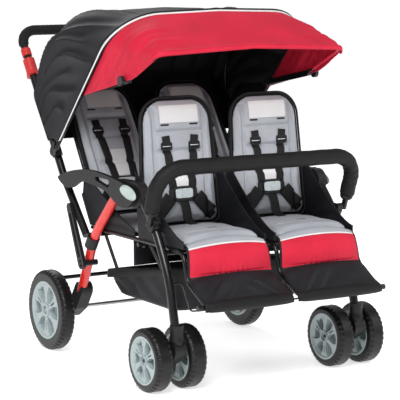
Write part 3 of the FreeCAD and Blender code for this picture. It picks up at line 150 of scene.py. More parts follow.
def turned(points, angle):
    """Points turned about the X axis by an angle in degrees."""
    c, s = math.cos(math.radians(angle)), math.sin(math.radians(angle))
    turn = np.array([[1, 0, 0], [0, c, -s], [0, s, c]])
    return points @ turn.T


def read_points(mesh):
    """A mesh's points as an array, in millimetres."""
    flat = np.empty(len(mesh.vertices) * 3)
    mesh.vertices.foreach_get("co", flat)
    return flat.reshape(-1, 3) / MM


def write_points(mesh, points):
    """Put an array of points in millimetres back in the mesh."""
    mesh.vertices.foreach_set("co", (points * MM).ravel())
    mesh.update()


def set_down(piece, angle, start):
    """Turn a piece about X and move it to start, inside its mesh."""
    write_points(piece.data, turned(read_points(piece.data), angle) + np.asarray(start))
    return piece


def copy_of(piece, name):
    """A separate object with its own mesh and the same modifiers."""
    twin = piece.copy()
    twin.data = piece.data.copy()
    twin.name = twin.data.name = name
    bpy.context.collection.objects.link(twin)
    return twin


def baked(piece):
    """Apply a piece's modifiers."""
    view = bpy.context.evaluated_depsgraph_get()
    mesh = bpy.data.meshes.new_from_object(piece.evaluated_get(view))
    piece.modifiers.clear()
    piece.data = mesh
    return piece


# %% [markdown]
# ## Paths and sweeps
# Tubes, piping and padded bars are one round outline carried along a path. Every such path here is
# flat, so the outline needs only the direction of the path and the fixed normal of its plane.

# %% Path helpers
def resampled(path, count):
    """The same path with evenly spaced points."""
    path = np.asarray(path, dtype=float)
    run = np.r_[0, np.cumsum(np.linalg.norm(np.diff(path, axis=0), axis=1))]
    where = np.linspace(0, run[-1], count)
    return np.stack([np.interp(where, run, path[:, k]) for k in range(path.shape[1])], -1)


def rounded_path(corners, bends, count):
    """Straight runs joined by arcs that touch both, as evenly spaced points."""
    corners = np.asarray(corners, dtype=float)
    points = [corners[:1]]
    for before, corner, after, bend in zip(corners, corners[1:], corners[2:], bends):
        into = (corner - before) / np.linalg.norm(corner - before)
        out = (after - corner) / np.linalg.norm(after - corner)
        half = math.acos(np.clip(into @ out, -1, 1)) / 2
        inward = (out - into) / np.linalg.norm(out - into)
        centre = corner + inward * (bend / math.cos(half))
        angle = np.linspace(-half, half, 13)[:, None]
        along = (into + out) / np.linalg.norm(into + out)
        points.append(centre + bend * (np.sin(angle) * along - np.cos(angle) * inward))
    points.append(corners[-1:])
    return resampled(np.vstack(points), count)


def sweep(path, normal, radius, sides=16, closed=False):
    """Rings of points round a flat path; radius is one value or one for each ring and side."""
    if closed:
        ahead = np.roll(path, -1, axis=0) - np.roll(path, 1, axis=0)
    else:
        ahead = np.gradient(path, axis=0)
    ahead /= np.linalg.norm(ahead, axis=1)[:, None]
    normal = np.asarray(normal, dtype=float)
    side = np.cross(ahead, normal)
    turn = np.linspace(0, 2 * np.pi, sides, endpoint=False)
    radius = np.broadcast_to(np.asarray(radius, dtype=float), (len(path), sides))[..., None]
    ring = np.cos(turn)[None, :, None] * normal + np.sin(turn)[None, :, None] * side[:, None, :]
    return path[:, None, :] + radius * ring


def tube_piece(name, path, normal, radius, material, sides=16, closed=False):
    """A swept tube with both ends closed by a small dome."""
    rings = sweep(path, normal, radius, sides, closed)
    if closed:
        return surface(name, rings, material, ring_rows=True, ring_cols=True)
    for end, order in ((0, 1), (-1, -1)):
        centre = path[end]
        cap = centre + (rings[end] - centre) * 0.02
        rings = np.concatenate([cap[None], rings]) if order == 1 else np.concatenate([rings, cap[None]])
    return surface(name, rings, material, ring_cols=True)


# %% [markdown]
# ## Shared effects for the materials
# Cloth needs a weave, and moulded plastic a fine grain. Each effect is one node group with its own
# inputs, so that every material can use it at its own scale. The groups read Object coordinates.

# %% Node groups
def new_group(name, inputs, outputs):
    """An empty shader node group with named sockets."""
    group = bpy.data.node_groups.new(name, "ShaderNodeTree")
    for label, kind, value in inputs:
        socket = group.interface.new_socket(name=label, in_out="INPUT", socket_type=kind)
        socket.default_value = value
    for label, kind in outputs:
        group.interface.new_socket(name=label, in_out="OUTPUT", socket_type=kind)
    return group, group.nodes.new("NodeGroupInput"), group.nodes.new("NodeGroupOutput")


def weave_group():
    """Crossed threads: two sets of fine bands multiplied, with a soft change of tone over the cloth."""
    group, given, result = new_group(
        "woven_threads",
        [
            ("Thread", "NodeSocketColor", (0.1, 0.1, 0.1, 1)),
            ("Shade", "NodeSocketColor", (0.05, 0.05, 0.05, 1)),
            ("Count", "NodeSocketFloat", 300.0),
            ("Patches", "NodeSocketFloat", 9.0),
        ],
        [("Colour", "NodeSocketColor"), ("Height", "NodeSocketFloat"), ("Rough", "NodeSocketFloat")],
    )
    nodes, links = group.nodes, group.links
    place = nodes.new("ShaderNodeTexCoord")
    heights = []
    for direction in ("X", "Z"):
        wave = nodes.new("ShaderNodeTexWave")
        wave.bands_direction = direction
        wave.inputs["Distortion"].default_value = 0.6
        wave.inputs["Detail Scale"].default_value = 3.0
        links.new(place.outputs["Object"], wave.inputs["Vector"])
        links.new(given.outputs["Count"], wave.inputs["Scale"])
        heights.append(wave)
    threads = nodes.new("ShaderNodeMath")
    threads.operation = "MULTIPLY"
    links.new(heights[0].outputs["Fac"], threads.inputs[0])
    links.new(heights[1].outputs["Fac"], threads.inputs[1])
    tone = nodes.new("ShaderNodeTexNoise")
    tone.inputs["Detail"].default_value = 4.0
    links.new(place.outputs["Object"], tone.inputs["Vector"])
    links.new(given.outputs["Patches"], tone.inputs["Scale"])
    soft = nodes.new("ShaderNodeMapRange")
    soft.inputs["From Min"].default_value = 0.3
    soft.inputs["From Max"].default_value = 0.7
    links.new(tone.outputs["Fac"], soft.inputs["Value"])
    mix = nodes.new("ShaderNodeMix")
    mix.data_type = "RGBA"
    links.new(soft.outputs["Result"], mix.inputs["Factor"])
    links.new(given.outputs["Shade"], mix.inputs["A"])
    links.new(given.outputs["Thread"], mix.inputs["B"])
    dark = nodes.new("ShaderNodeMix")
    dark.data_type = "RGBA"
    dark.blend_type = "MULTIPLY"
    dark.inputs["Factor"].default_value = 0.25
    links.new(mix.outputs["Result"], dark.inputs["A"])
    links.new(threads.outputs[0], dark.inputs["B"])
    links.new(dark.outputs["Result"], result.inputs["Colour"])
    links.new(threads.outputs[0], result.inputs["Height"])
    rough = nodes.new("ShaderNodeMapRange")
    rough.inputs["To Min"].default_value = 0.5
    rough.inputs["To Max"].default_value = 0.7
    links.new(tone.outputs["Fac"], rough.inputs["Value"])
    links.new(rough.outputs["Result"], result.inputs["Rough"])
    return group


def grain_group():
    """The pebbled face of moulded plastic, with faint scuffs that change its gloss."""
    group, given, result = new_group(
        "moulded_grain",
        [
            ("Body", "NodeSocketColor", (0.03, 0.03, 0.03, 1)),
            ("Scuff", "NodeSocketColor", (0.06, 0.06, 0.06, 1)),
            ("Fineness", "NodeSocketFloat", 700.0),
            ("Gloss", "NodeSocketFloat", 0.4),
            ("Matt", "NodeSocketFloat", 0.6),
        ],
        [("Colour", "NodeSocketColor"), ("Height", "NodeSocketFloat"), ("Rough", "NodeSocketFloat")],
    )
    nodes, links = group.nodes, group.links
    place = nodes.new("ShaderNodeTexCoord")
    grain = nodes.new("ShaderNodeTexVoronoi")
    links.new(place.outputs["Object"], grain.inputs["Vector"])
    links.new(given.outputs["Fineness"], grain.inputs["Scale"])
    links.new(grain.outputs["Distance"], result.inputs["Height"])
    scuff = nodes.new("ShaderNodeTexNoise")
    scuff.inputs["Scale"].default_value = 22.0
    scuff.inputs["Detail"].default_value = 8.0
    scuff.inputs["Roughness"].default_value = 0.7
    links.new(place.outputs["Object"], scuff.inputs["Vector"])
    edge = nodes.new("ShaderNodeMapRange")
    edge.inputs["From Min"].default_value = 0.48
    edge.inputs["From Max"].default_value = 0.75
    links.new(scuff.outputs["Fac"], edge.inputs["Value"])
    mix = nodes.new("ShaderNodeMix")
    mix.data_type = "RGBA"
    links.new(edge.outputs["Result"], mix.inputs["Factor"])
    links.new(given.outputs["Body"], mix.inputs["A"])
    links.new(given.outputs["Scuff"], mix.inputs["B"])
    links.new(mix.outputs["Result"], result.inputs["Colour"])
    rough = nodes.new("ShaderNodeMapRange")
    links.new(scuff.outputs["Fac"], rough.inputs["Value"])
    links.new(given.outputs["Gloss"], rough.inputs["To Min"])
    links.new(given.outputs["Matt"], rough.inputs["To Max"])
    links.new(rough.outputs["Result"], result.inputs["Rough"])
    return group


WEAVE = weave_group()
GRAIN = grain_group()
print("node groups:", WEAVE.name, GRAIN.name)

# %% [markdown]
# ## Materials
# Nylon cloth has a soft sheen where it turns away from the eye. The legs are painted and
# clear-coated, so they have a coat layer. Rubber is dark and nearly matt. The values that are the
# same all over a surface sit on the shader itself; what changes over it comes from a group.

# %% Material makers
def finish_material(name, group, values, bump_strength, bump_depth, **settings):
    """One material: a group for what varies, the shader's own sockets for what doesn't."""
    material = bpy.data.materials.new(name)
    material.use_nodes = True
    nodes, links = material.node_tree.nodes, material.node_tree.links
    shader = nodes["Principled BSDF"]
    effect = nodes.new("ShaderNodeGroup")
    effect.node_tree = group
    for label, value in values.items():
        effect.inputs[label].default_value = value
    bumps = nodes.new("ShaderNodeBump")
    bumps.inputs["Strength"].default_value = bump_strength
    bumps.inputs["Distance"].default_value = bump_depth * MM
    links.new(effect.outputs["Height"], bumps.inputs["Height"])
    links.new(bumps.outputs["Normal"], shader.inputs["Normal"])
    links.new(effect.outputs["Colour"], shader.inputs["Base Color"])
    links.new(effect.outputs["Rough"], shader.inputs["Roughness"])
    for label, value in settings.items():
        shader.inputs[label.replace("_", " ")].default_value = value
    material.diffuse_color = list(values.values())[0]
    return material


def cloth(name, thread, shade, count=260.0, sheen=0.3, strength=0.35, patches=9.0, shine=0.25):
    """Woven cloth in two tones of one colour."""
    values = {"Thread": (*thread, 1), "Shade": (*shade, 1), "Count": count, "Patches": patches}
    tint = tuple(min(1.0, c * 1.5 + 0.05) for c in thread) + (1,)
    return finish_material(
        name,
        WEAVE,
        values,
        strength,
        0.25,
        Sheen_Weight=sheen,
        Sheen_Roughness=0.45,
        Sheen_Tint=tint,
        Specular_IOR_Level=shine,
    )


def moulded(name, body, scuff, gloss=0.35, matt=0.55, fineness=700.0, strength=0.15, **settings):
    """Moulded plastic, foam or rubber."""
    values = {"Body": (*body, 1), "Scuff": (*scuff, 1), "Fineness": fineness, "Gloss": gloss, "Matt": matt}
    return finish_material(name, GRAIN, values, strength, 0.2, **settings)


LOOKS = {
    "black_tube": moulded(
        "satin_black_tube", (0.005, 0.005, 0.006), (0.01, 0.01, 0.011), 0.2, 0.32, 1400.0, 0.05,
        Specular_IOR_Level=0.4
    ),
    "red_leg": moulded(
        "clear_coated_red",
        (0.66, 0.018, 0.012),
        (0.7, 0.025, 0.018),
        0.22,
        0.32,
        1500.0,
        0.02,
        Coat_Weight=0.35,
        Coat_Roughness=0.06,
    ),
    "red_plastic": moulded("red_moulding", (0.5, 0.02, 0.02), (0.58, 0.035, 0.035), 0.3, 0.45, 900.0, 0.1),
    "black_plastic": moulded(
        "grained_black", (0.008, 0.008, 0.009), (0.014, 0.014, 0.015), 0.38, 0.56, 900.0, 0.25,
        Specular_IOR_Level=0.3
    ),
    "cap": moulded("pale_cap", (0.38, 0.46, 0.44), (0.44, 0.52, 0.5), 0.22, 0.34, 1200.0, 0.03),
    "steel": moulded(
        "plain_steel", (0.42, 0.42, 0.43), (0.5, 0.5, 0.5), 0.25, 0.4, 600.0, 0.05, Metallic=1.0
    ),
    "foam": moulded(
        "black_foam", (0.006, 0.006, 0.006), (0.011, 0.011, 0.011), 0.7, 0.88, 520.0, 0.5,
        Specular_IOR_Level=0.3
    ),
    "black_cloth": cloth(
        "black_nylon", (0.011, 0.0118, 0.0155), (0.007, 0.0075, 0.0095), 240.0, 0.04, shine=0.28
    ),
    "red_cloth": cloth("red_nylon", (0.72, 0.014, 0.05), (0.56, 0.009, 0.036), 240.0, 0.05),
    "grey_cloth": cloth("grey_quilt", (0.47, 0.49, 0.53), (0.38, 0.4, 0.44), 300.0, 0.12),
    "tyre": moulded(
        "tyre_rubber", (0.006, 0.006, 0.006), (0.012, 0.012, 0.012), 0.26, 0.46, 420.0, 0.35,
        Specular_IOR_Level=0.28
    ),
    "rim": moulded("rim_moulding", (0.33, 0.39, 0.4), (0.4, 0.46, 0.47), 0.35, 0.5, 900.0, 0.12),
    "white_cloth": cloth("white_piping", (0.88, 0.88, 0.88), (0.8, 0.8, 0.8), 500.0, 0.05),
    "patch": cloth("pale_patch", (0.8, 0.8, 0.8), (0.72, 0.72, 0.73), 420.0, 0.05, 0.15),
    "webbing": cloth("black_webbing", (0.012, 0.012, 0.013), (0.007, 0.007, 0.007), 420.0, 0.05, 0.6),
    # Pale grey of the buckle plates; on the sliders' bars the same finish is a painted highlight.
    "silver": moulded(
        "buckle_grey_and_glint", (0.52, 0.58, 0.6), (0.6, 0.65, 0.67), 0.22, 0.34, 900.0, 0.05, Metallic=0.3
    ),
    "band_cloth": cloth("red_satin_band", (0.74, 0.015, 0.05), (0.58, 0.009, 0.036), 330.0, 0.1),
    "pad_cloth": cloth("black_bar_cover", (0.008, 0.008, 0.009), (0.005, 0.005, 0.005), 300.0, 0.06, 0.5),
}
for entry in frame["record"]["subparts"]:
    node = frame["nodes"][entry["node"]]
    node.data.materials.clear()
    node.data.materials.append(LOOKS[entry["material_slot"]])
print("materials:", len(LOOKS))


def dress(piece, body, slot, *nodes):
    """Say which body carries a piece and which solids it stands for; its finish slot is not used."""
    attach(piece, body)
    if nodes:
        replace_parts(piece, *nodes)
    return piece


def bend_between(piece, slot, first, second, start, end, *nodes):
    """Bake a piece's place into its points and hide the solids it stands for; slot, first, second, start and
    end are not used.
    """
    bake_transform(piece)
    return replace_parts(piece, *nodes)


# %% [markdown]
# ## Room, light and camera
# Product photographs use large soft lights and a white ground. The lamps stay gentle, so that the
# colours render about as they are written, and the white ground is the floor's own colour.

# %% Studio
CAMERA_LENS = 164.41  # millimetres of focal length
SENSOR_WIDTH = 36.0
CAMERA_AT = (-2.94695, -4.84808, 1.27922)  # metres
CAMERA_TILT = 82.0271  # degrees up from straight down
CAMERA_TURN = -31.5527  # degrees round the upright axis


def studio():
    """A pale floor, a white surround, three soft lamps and the photograph's camera."""
    span = across(40.0)
    grid = np.stack(np.meshgrid(span, span, [0.0], indexing="ij"), -1).reshape(-1, 3) / MM
    floor_look = bpy.data.materials.new("pale_floor")
    floor_look.use_nodes = True
    shader = floor_look.node_tree.nodes["Principled BSDF"]
    shader.inputs["Base Color"].default_value = (1.0, 1.0, 1.0, 1)
    shader.inputs["Roughness"].default_value = 1.0
    shader.inputs["Specular IOR Level"].default_value = 0.0
    shader.inputs["Emission Color"].default_value = (1.0, 1.0, 1.0, 1)
    shader.inputs["Emission Strength"].default_value = 0.6
    floor = solid_piece("floor", grid, [[0, 2, 3, 1]], floor_look, recalculate=False)
    world = bpy.data.worlds.new("studio")
    world.use_nodes = True
    bpy.context.scene.world = world
    nodes, links = world.node_tree.nodes, world.node_tree.links
    back = nodes["Background"]
    back.inputs["Color"].default_value = (1, 1, 1, 1)
    light = nodes.new("ShaderNodeLightPath")
    level = nodes.new("ShaderNodeMapRange")
    level.inputs["To Min"].default_value = 0.42
    level.inputs["To Max"].default_value = 1.0
    links.new(light.outputs["Is Camera Ray"], level.inputs["Value"])
    links.new(level.outputs["Result"], back.inputs["Strength"])
    for name, spot, aim, size, power in (
        ("key", (-2.2, -2.6, 3.2), (0, 0, 0.5), 1.8, 150),
        ("fill", (3.2, -2.4, 2.2), (0, 0, 0.5), 2.4, 40),
        ("rim", (0.6, 3.4, 3.0), (0, 0, 0.6), 2.4, 40),
    ):
        lamp = bpy.data.lights.new(name, "AREA")
        lamp.size = size
        lamp.energy = power
        holder = bpy.data.objects.new(name, lamp)
        holder.location = spot
        toward = np.array(aim) - np.array(spot)
        flat = math.hypot(toward[0], toward[1])
        holder.rotation_euler = (
            math.atan2(flat, -toward[2]), 0, math.atan2(toward[1], toward[0]) - math.pi / 2
        )
        bpy.context.collection.objects.link(holder)
    lens = bpy.data.cameras.new("camera")
    lens.lens = CAMERA_LENS
    lens.sensor_width = SENSOR_WIDTH
    camera = bpy.data.objects.new("camera", lens)
    camera.location = CAMERA_AT
    camera.rotation_euler = (math.radians(CAMERA_TILT), 0, math.radians(CAMERA_TURN))
    bpy.context.collection.objects.link(camera)
    bpy.context.scene.camera = camera
    bpy.context.scene.view_settings.view_transform = "Standard"


studio()

# %% [markdown]
# ## The hood
# The hood is one sheet of nylon over two hoops that open like a fan. Each hoop is a tall arch with
# round shoulders, so the sheet is a function of two parameters: how far round the fan, and how far
# along the arch. Creases leave the rear seam and climb towards the front hoop.

# %% The arch and the fan
FAN_AT = np.array([53.5, 75.0, 95.0, 114.0, 133.0])
FAN_REACH = np.array([0.455, 0.6, 0.72, 0.79, 0.995]) * 616 + 9.5
FAN_ROUND = np.array([0.5, 0.7, 0.85, 0.95, 1.0]) * 145 + 10


def arch_points(half, low, high, corner, rise, count):
    """An arch in its own plane: straight sides, round shoulders, and a crown that rises a little."""
    path = rounded_path(
        [(-half, low, 0), (-half, high - rise, 0), (0, high, 0), (half, high - rise, 0), (half, low, 0)],
        [corner, half, corner],
        count,
    )
    return path[:, :2]


def smooth_through(at, known, values):
    """A cubic curve through a few known values."""
    fit = np.polyfit(known, values, len(known) - 1)
    return np.polyval(fit, at)


def fan_sheet(angles, count, low=46.0, half=349.0, lift=0.0):
    """Points of the hood: rows go round the fan, columns along the arch."""
    rows = []
    for angle in angles:
        reach = float(smooth_through(angle, FAN_AT, FAN_REACH)) + lift
        bend = float(np.interp(angle, FAN_AT, FAN_ROUND))
        arch = arch_points(half + lift, low, reach, bend, 15.0, count)
        lean = math.radians(angle)
        rows.append(
            np.stack(
                [arch[:, 0], PIVOT[1] + arch[:, 1] * math.cos(lean), PIVOT[2] + arch[:, 1] * math.sin(lean)],
                -1
            )
        )
    return np.array(rows)


def hood_folds(fan, along):
    """Creases that leave the rear seam and climb towards the front hoop; fan and along run 0 to 1."""
    side = np.minimum(along, 1 - along) * 2
    folds = np.zeros_like(fan)
    for start, slope, reach, depth in (
        (0.07, 0.1, 0.9, 4.0),
        (0.145, 0.13, 1.0, 6.5),
        (0.2, 0.16, 0.85, 5.0),
        (0.265, 0.17, 1.05, 7.5),
        (0.33, 0.2, 0.9, 6.0),
        (0.4, 0.2, 1.05, 8.0),
        (0.5, 0.24, 1.0, 5.5),
        (0.64, 0.14, 0.9, 4.0),
    ):
        line = start + slope * fan + 0.012 * np.sin(fan * 9 + start * 30)
        crease = ridge(side, line, 0.016) - 0.75 * bump(side, line + 0.04, 0.03)
        folds += 1.7 * depth * crease * blend01(fan, 0.0, 0.06) * (1 - blend01(fan, reach - 0.15, reach))
    sag = -6.0 * np.sin(np.pi * fan) * (0.35 + 0.65 * blend01(side, 0.5, 0.9))
    return folds + sag


fan_rows, arch_cols = 70, 300
hood = fan_sheet(np.linspace(53.5, 132.4, fan_rows), arch_cols)
fan_part, arch_part = np.meshgrid(np.linspace(0, 1, fan_rows), np.linspace(0, 1, arch_cols), indexing="ij")
centre_line = np.array([0.0, PIVOT[1] - 10, PIVOT[2] + 140])
outward = hood - centre_line
outward /= np.linalg.norm(outward, axis=2)[..., None]
hood = hood + outward * hood_folds(fan_part, arch_part)[..., None]
canopy_cloth = surface("canopy_cloth", hood, LOOKS["black_cloth"], thickness=1.6)
bend_between(
    canopy_cloth, "black_cloth", "handle_frame", "front_bow_body", (0, 0.23, 0.95), (0, -0.13, 0.95),
    "canopy"
)
print("hood points:", hood.shape)

# %% [markdown]
# The back of the hood is a flap that hangs between the handle's tubes. It is full and loose in the
# middle, so it bellies out a little and has slack folds from its top corners.

# %% The rear flap
def rear_flap(rows=40, cols=90):
    """A sheet from the last arch down to the clamps: full at its middle, gathered at its corners."""
    down, wide = np.meshgrid(np.linspace(0, 1, rows), np.linspace(-1, 1, cols), indexing="ij")
    edge = fan_sheet([53.5], arch_cols)[0]
    top = resampled(edge, cols)
    lean = math.radians(53.5)
    low = 50.0
    base = np.stack(
        [
            np.linspace(-347, 347, cols),
            np.full(cols, PIVOT[1] + low * math.cos(lean)),
            np.full(cols, PIVOT[2] + low * math.sin(lean)),
        ],
        -1
    )
    height = down[..., None]
    points = top[None] * (1 - height) + base[None] * height
    belly = 16 * np.sin(np.pi * down) * (1 - wide**4)
    folds = 3.5 * np.sin(7 * wide + 3 * down) * np.sin(np.pi * down) * (1 - wide**8)
    back = np.array([0, math.sin(lean), -math.cos(lean)])
    return points + (belly + folds)[..., None] * back


flap = surface("canopy_rear_flap", rear_flap(), LOOKS["black_cloth"], thickness=1.6)
dress(flap, "handle_frame", "black_cloth")
seam_lean = math.radians(53.5)
seam_path = resampled(hood[0], 150)
seam = tube_piece(
    "canopy_rear_binding", seam_path, (0, math.sin(seam_lean), -math.cos(seam_lean)), 2.6, LOOKS["webbing"],
    sides=8
)
dress(seam, "handle_frame", "black_cloth")

# %% [markdown]
# White reflective piping runs along the front hoop, between the black hood and the red visor, with a
# narrow black binding behind it. Both are tubes swept along the hoop.

# %% Piping on the front hoop
def hoop_path(reach, angle, half, corner, count, low=14.0):
    """The line of one hoop in space."""
    arch = arch_points(half, low, reach, corner, 15.0, count)
    lean = math.radians(angle)
    return np.stack(
        [arch[:, 0], PIVOT[1] + arch[:, 1] * math.cos(lean), PIVOT[2] + arch[:, 1] * math.sin(lean)], -1
    )


bow_lean = math.radians(133.0)
bow_normal = (0, math.sin(bow_lean), -math.cos(bow_lean))
piping_path = hoop_path(621.0, 133.2, 345.0, 150.0, 170, low=30.0)
piping = tube_piece("canopy_piping", piping_path, bow_normal, 3.4, LOOKS["white_cloth"], sides=10)
dress(piping, "front_bow_body", "grey_cloth")
binding_path = hoop_path(621.0, 132.6, 344.5, 150.0, 170, low=26.0)
binding = tube_piece("canopy_binding", binding_path, bow_normal, 4.2, LOOKS["black_cloth"], sides=10)
dress(binding, "front_bow_body", "black_cloth")
edging_path = hoop_path(618.0, 133.9, 344.5, 149.0, 170, low=34.0)
edging = tube_piece("canopy_edging", edging_path, bow_normal, 2.2, LOOKS["webbing"], sides=8)
dress(edging, "front_bow_body", "black_cloth")

# %% [markdown]
# ## The red visor
# The visor is the same idea with straight rulings: it runs from the front hoop to its own thin hoop.
# Its sides hang in soft upright folds, and its lower edge dips between the hoop and the knob. The hem
# hangs in front of the thin hoop, and a cloth sleeve goes round that hoop.

# %% The visor
def visor_sheet(rows=44, cols=150):
    """Hoops from the front bow to the visor bow, with folds that fade towards the front edge."""
    known = np.array([0.0, 0.33, 0.67, 1.0])
    halves = np.array([1.0, 0.99, 0.98, 0.965]) * 340
    corners = np.array([1.0, 0.72, 0.4, 0.1]) * 145
    lifts = np.array([0.0, 0.22, 0.2, 0.0]) * 34
    sags = np.array([0.0, 0.35, 0.65, 0.0]) * 34
    lean = math.radians(133.0)
    low0 = np.array([PIVOT[1] + 264 * math.cos(lean), PIVOT[2] + 264 * math.sin(lean)])
    high0 = np.array([PIVOT[1] + 616 * math.cos(lean), PIVOT[2] + 616 * math.sin(lean)])
    low1, high1 = np.array([-352.0, 957.0]), np.array([-336.0, 992.0])
    sheet = []
    for share in np.linspace(0, 1, rows):
        low = low0 + (low1 - low0) * share + (-7.5, -float(np.interp(share, known, sags)))
        high = high0 + (high1 - high0) * share + (-7.5, float(smooth_through(share, known, lifts)))
        reach = np.linalg.norm(high - low)
        up = (high - low) / reach
        arch = arch_points(
            float(np.interp(share, known, halves)), 0.0, reach, float(np.interp(share, known, corners)),
            15.0, cols
        )
        sheet.append(np.stack([arch[:, 0], low[0] + arch[:, 1] * up[0], low[1] + arch[:, 1] * up[1]], -1))
    turn = np.clip((np.abs(sheet[-1][:, 0]) - 290) / 38, 0, 1)
    recede = 38 * (1 - np.sqrt(1 - turn**2))
    for row, near in enumerate(blend01(np.linspace(0, 1, rows), 0.72, 1.0)):
        sheet[row] = sheet[row] + (recede * near)[:, None] * (0, 0.95, -0.25)
    edge = sheet[-1]
    hem_part = blend01(edge[:, 2] - edge[:, 2].min(), 2.0, 18.0)[:, None]
    middle = np.stack([np.clip(edge[:, 0], -290, 290), np.full(cols, -306.0), edge[:, 2]], -1)
    ahead = (edge - middle) / np.linalg.norm(edge - middle, axis=1)[:, None]
    for out, down in ((5.0, 0.5), (9.0, 2.5), (11.5, 6.5), (11.5, 11.5), (9.5, 16.0)):
        sheet.append(edge + hem_part * (ahead * out - (0, 0, down)))
    rows = len(sheet)
    sheet = np.array(sheet)
    share, along = np.meshgrid(np.linspace(0, 1, rows), np.linspace(0, 1, cols), indexing="ij")
    side = np.minimum(along, 1 - along) * 2
    folds = 3.0 * np.sin(share * 17 + side * 4) + 1.3 * np.sin(share * 43 - side * 9)
    folds = folds * blend01(side, 0.0, 0.1) * (1 - blend01(side, 0.3, 0.6)) * np.sin(np.pi * share)
    sag = -6.0 * np.sin(np.pi * share) * blend01(side, 0.4, 0.8)
    sheet[..., 0] += np.sign(sheet[..., 0]) * (folds - 3.0) * (1 - blend01(side, 0.25, 0.4))
    sheet[..., 2] += sag + folds * blend01(side, 0.2, 0.35)
    return sheet


visor_cloth = surface("visor_cloth", visor_sheet(), LOOKS["red_cloth"], thickness=1.6)
bend_between(
    visor_cloth, "red_cloth", "front_bow_body", "visor_bow_body", (0, -0.17, 0.95), (0, -0.34, 0.97),
    "visor"
)
bow_corners = [
    (-318, -170, 882), (-318, -348.8, 970), (0, -347.4, 983.4), (318, -348.8, 970), (318, -170, 882)
]
bow_line = rounded_path(bow_corners, [34, 318, 34], 160)[6:-6]
sleeve = sweep(bow_line, (0, 0.441, 0.897), 5.0, 12)
visor_sleeve = surface("visor_sleeve", sleeve, LOOKS["red_cloth"], ring_cols=True, thickness=1.0)
dress(visor_sleeve, "visor_bow_body", "red_cloth")

# %% [markdown]
# ## Quilted cushions
# A cushion is fullest in its middle and drawn in at its edges. A square of parameters is first
# squeezed into the cushion's rounded outline, then two faces of it are lifted apart. A short cloth
# simulation with a little pressure puffs the form up, and the sewn channels are pressed in after it.

# %% Cushion form
def panel_outline(half_low, half_high, height, round_low, round_high, count=240):
    """A panel with round corners that tapers upwards, as a closed path from its low middle."""
    corners = [(0, 0), (half_low, 0), (half_high, height), (-half_high, height), (-half_low, 0), (0, 0)]
    return rounded_path(corners, [round_low, round_high, round_high, round_low], count)


def ring_map(a, b, outline):
    """Carry the square -1..1 by -1..1 into an outline, ring by ring; also gives how far out each point is."""
    half_low, height = outline[:, 0].max(), outline[:, 1].max()
    corners = np.array(
        [(0, 0), (half_low, 0), (half_low, height), (-half_low, height), (-half_low, 0), (0, 0)]
    )
    ends = [np.argmin(np.linalg.norm(outline - corner, axis=1)) for corner in corners[1:5]]
    stops = np.array([0, *ends, len(outline) - 1])
    ring = np.maximum(np.abs(a), np.abs(b))
    safe = np.maximum(ring, 1e-9)
    x, y = a / safe, b / safe
    edge = [(y <= -1 + 1e-9) & (x >= 0), x >= 1 - 1e-9, y >= 1 - 1e-9, x <= -1 + 1e-9]
    place = np.select(edge, [x, 2 + y, 4 - x, 6 - y], 8 + x)
    at = np.interp(place, [0, 1, 3, 5, 7, 8], stops)
    index = np.arange(len(outline))
    middle = height / 2
    px = np.interp(at, index, outline[:, 0]) * ring
    py = middle + (np.interp(at, index, outline[:, 1]) - middle) * ring
    return px, py, ring


def cushion_points(outline, thick, count=44):
    """Both faces of a cushion as one closed form, with its edges drawn in."""
    line = np.sin(np.linspace(-np.pi / 2, np.pi / 2, count))
    a, b = np.meshgrid(line, line, indexing="ij")
    x, y, ring = ring_map(a, b, outline)
    full = (1 - ring**9) ** 0.5
    middle = thick * 0.42
    front = middle + (thick - middle) * full
    back = middle - middle * full**0.7
    faces = lattice(count, count)
    top = np.stack([x, y, front], -1).reshape(-1, 3)
    under = np.stack([x, y, back], -1).reshape(-1, 3)
    return np.vstack([top, under]), np.vstack([faces, faces[:, ::-1] + count * count])


def puffed(piece, cap=7.0):
    """Voxel remesh, then 20 frames of cloth under pressure, with the travel of each point capped."""
    remesh = piece.modifiers.new("voxels", "REMESH")
    remesh.mode = "VOXEL"
    remesh.voxel_size = 5.0 * MM
    baked(piece)
    before = read_points(piece.data)
    sim = piece.modifiers.new("pressure", "CLOTH")
    sim.settings.use_pressure = True
    sim.settings.uniform_pressure_force = 4.0
    sim.settings.effector_weights.gravity = 0.0
    scene = bpy.context.scene
    for number in range(1, 21):
        scene.frame_set(number)
    baked(piece)
    scene.frame_set(1)
    move = read_points(piece.data) - before
    size = np.linalg.norm(move, axis=1)[:, None]
    move *= np.minimum(1, cap / np.maximum(size, 1e-6))
    write_points(piece.data, before + move)
    piece.data.polygons.foreach_set("use_smooth", np.ones(len(piece.data.polygons), dtype=bool))
    return piece


def press_channels(piece, thick, lines):
    """Press sewn lines into the front face; each line is (axis, place, width, depth, limit)."""
    points = read_points(piece.data)
    front = blend01(points[:, 2], thick * 0.45, thick * 0.75)
    for axis, place, width, depth, limit in lines:
        across_line, along_line = (
            (points[:, 0], points[:, 1]) if axis == "x" else (points[:, 1], points[:, 0])
        )
        across_line = np.abs(across_line) if axis == "x" else across_line
        inside = 1 - blend01(np.abs(along_line - limit[0]), limit[1] * 0.92, limit[1])
        points[:, 2] -= front * depth * bump(across_line, place, width) * inside
    write_points(piece.data, points)
    return piece


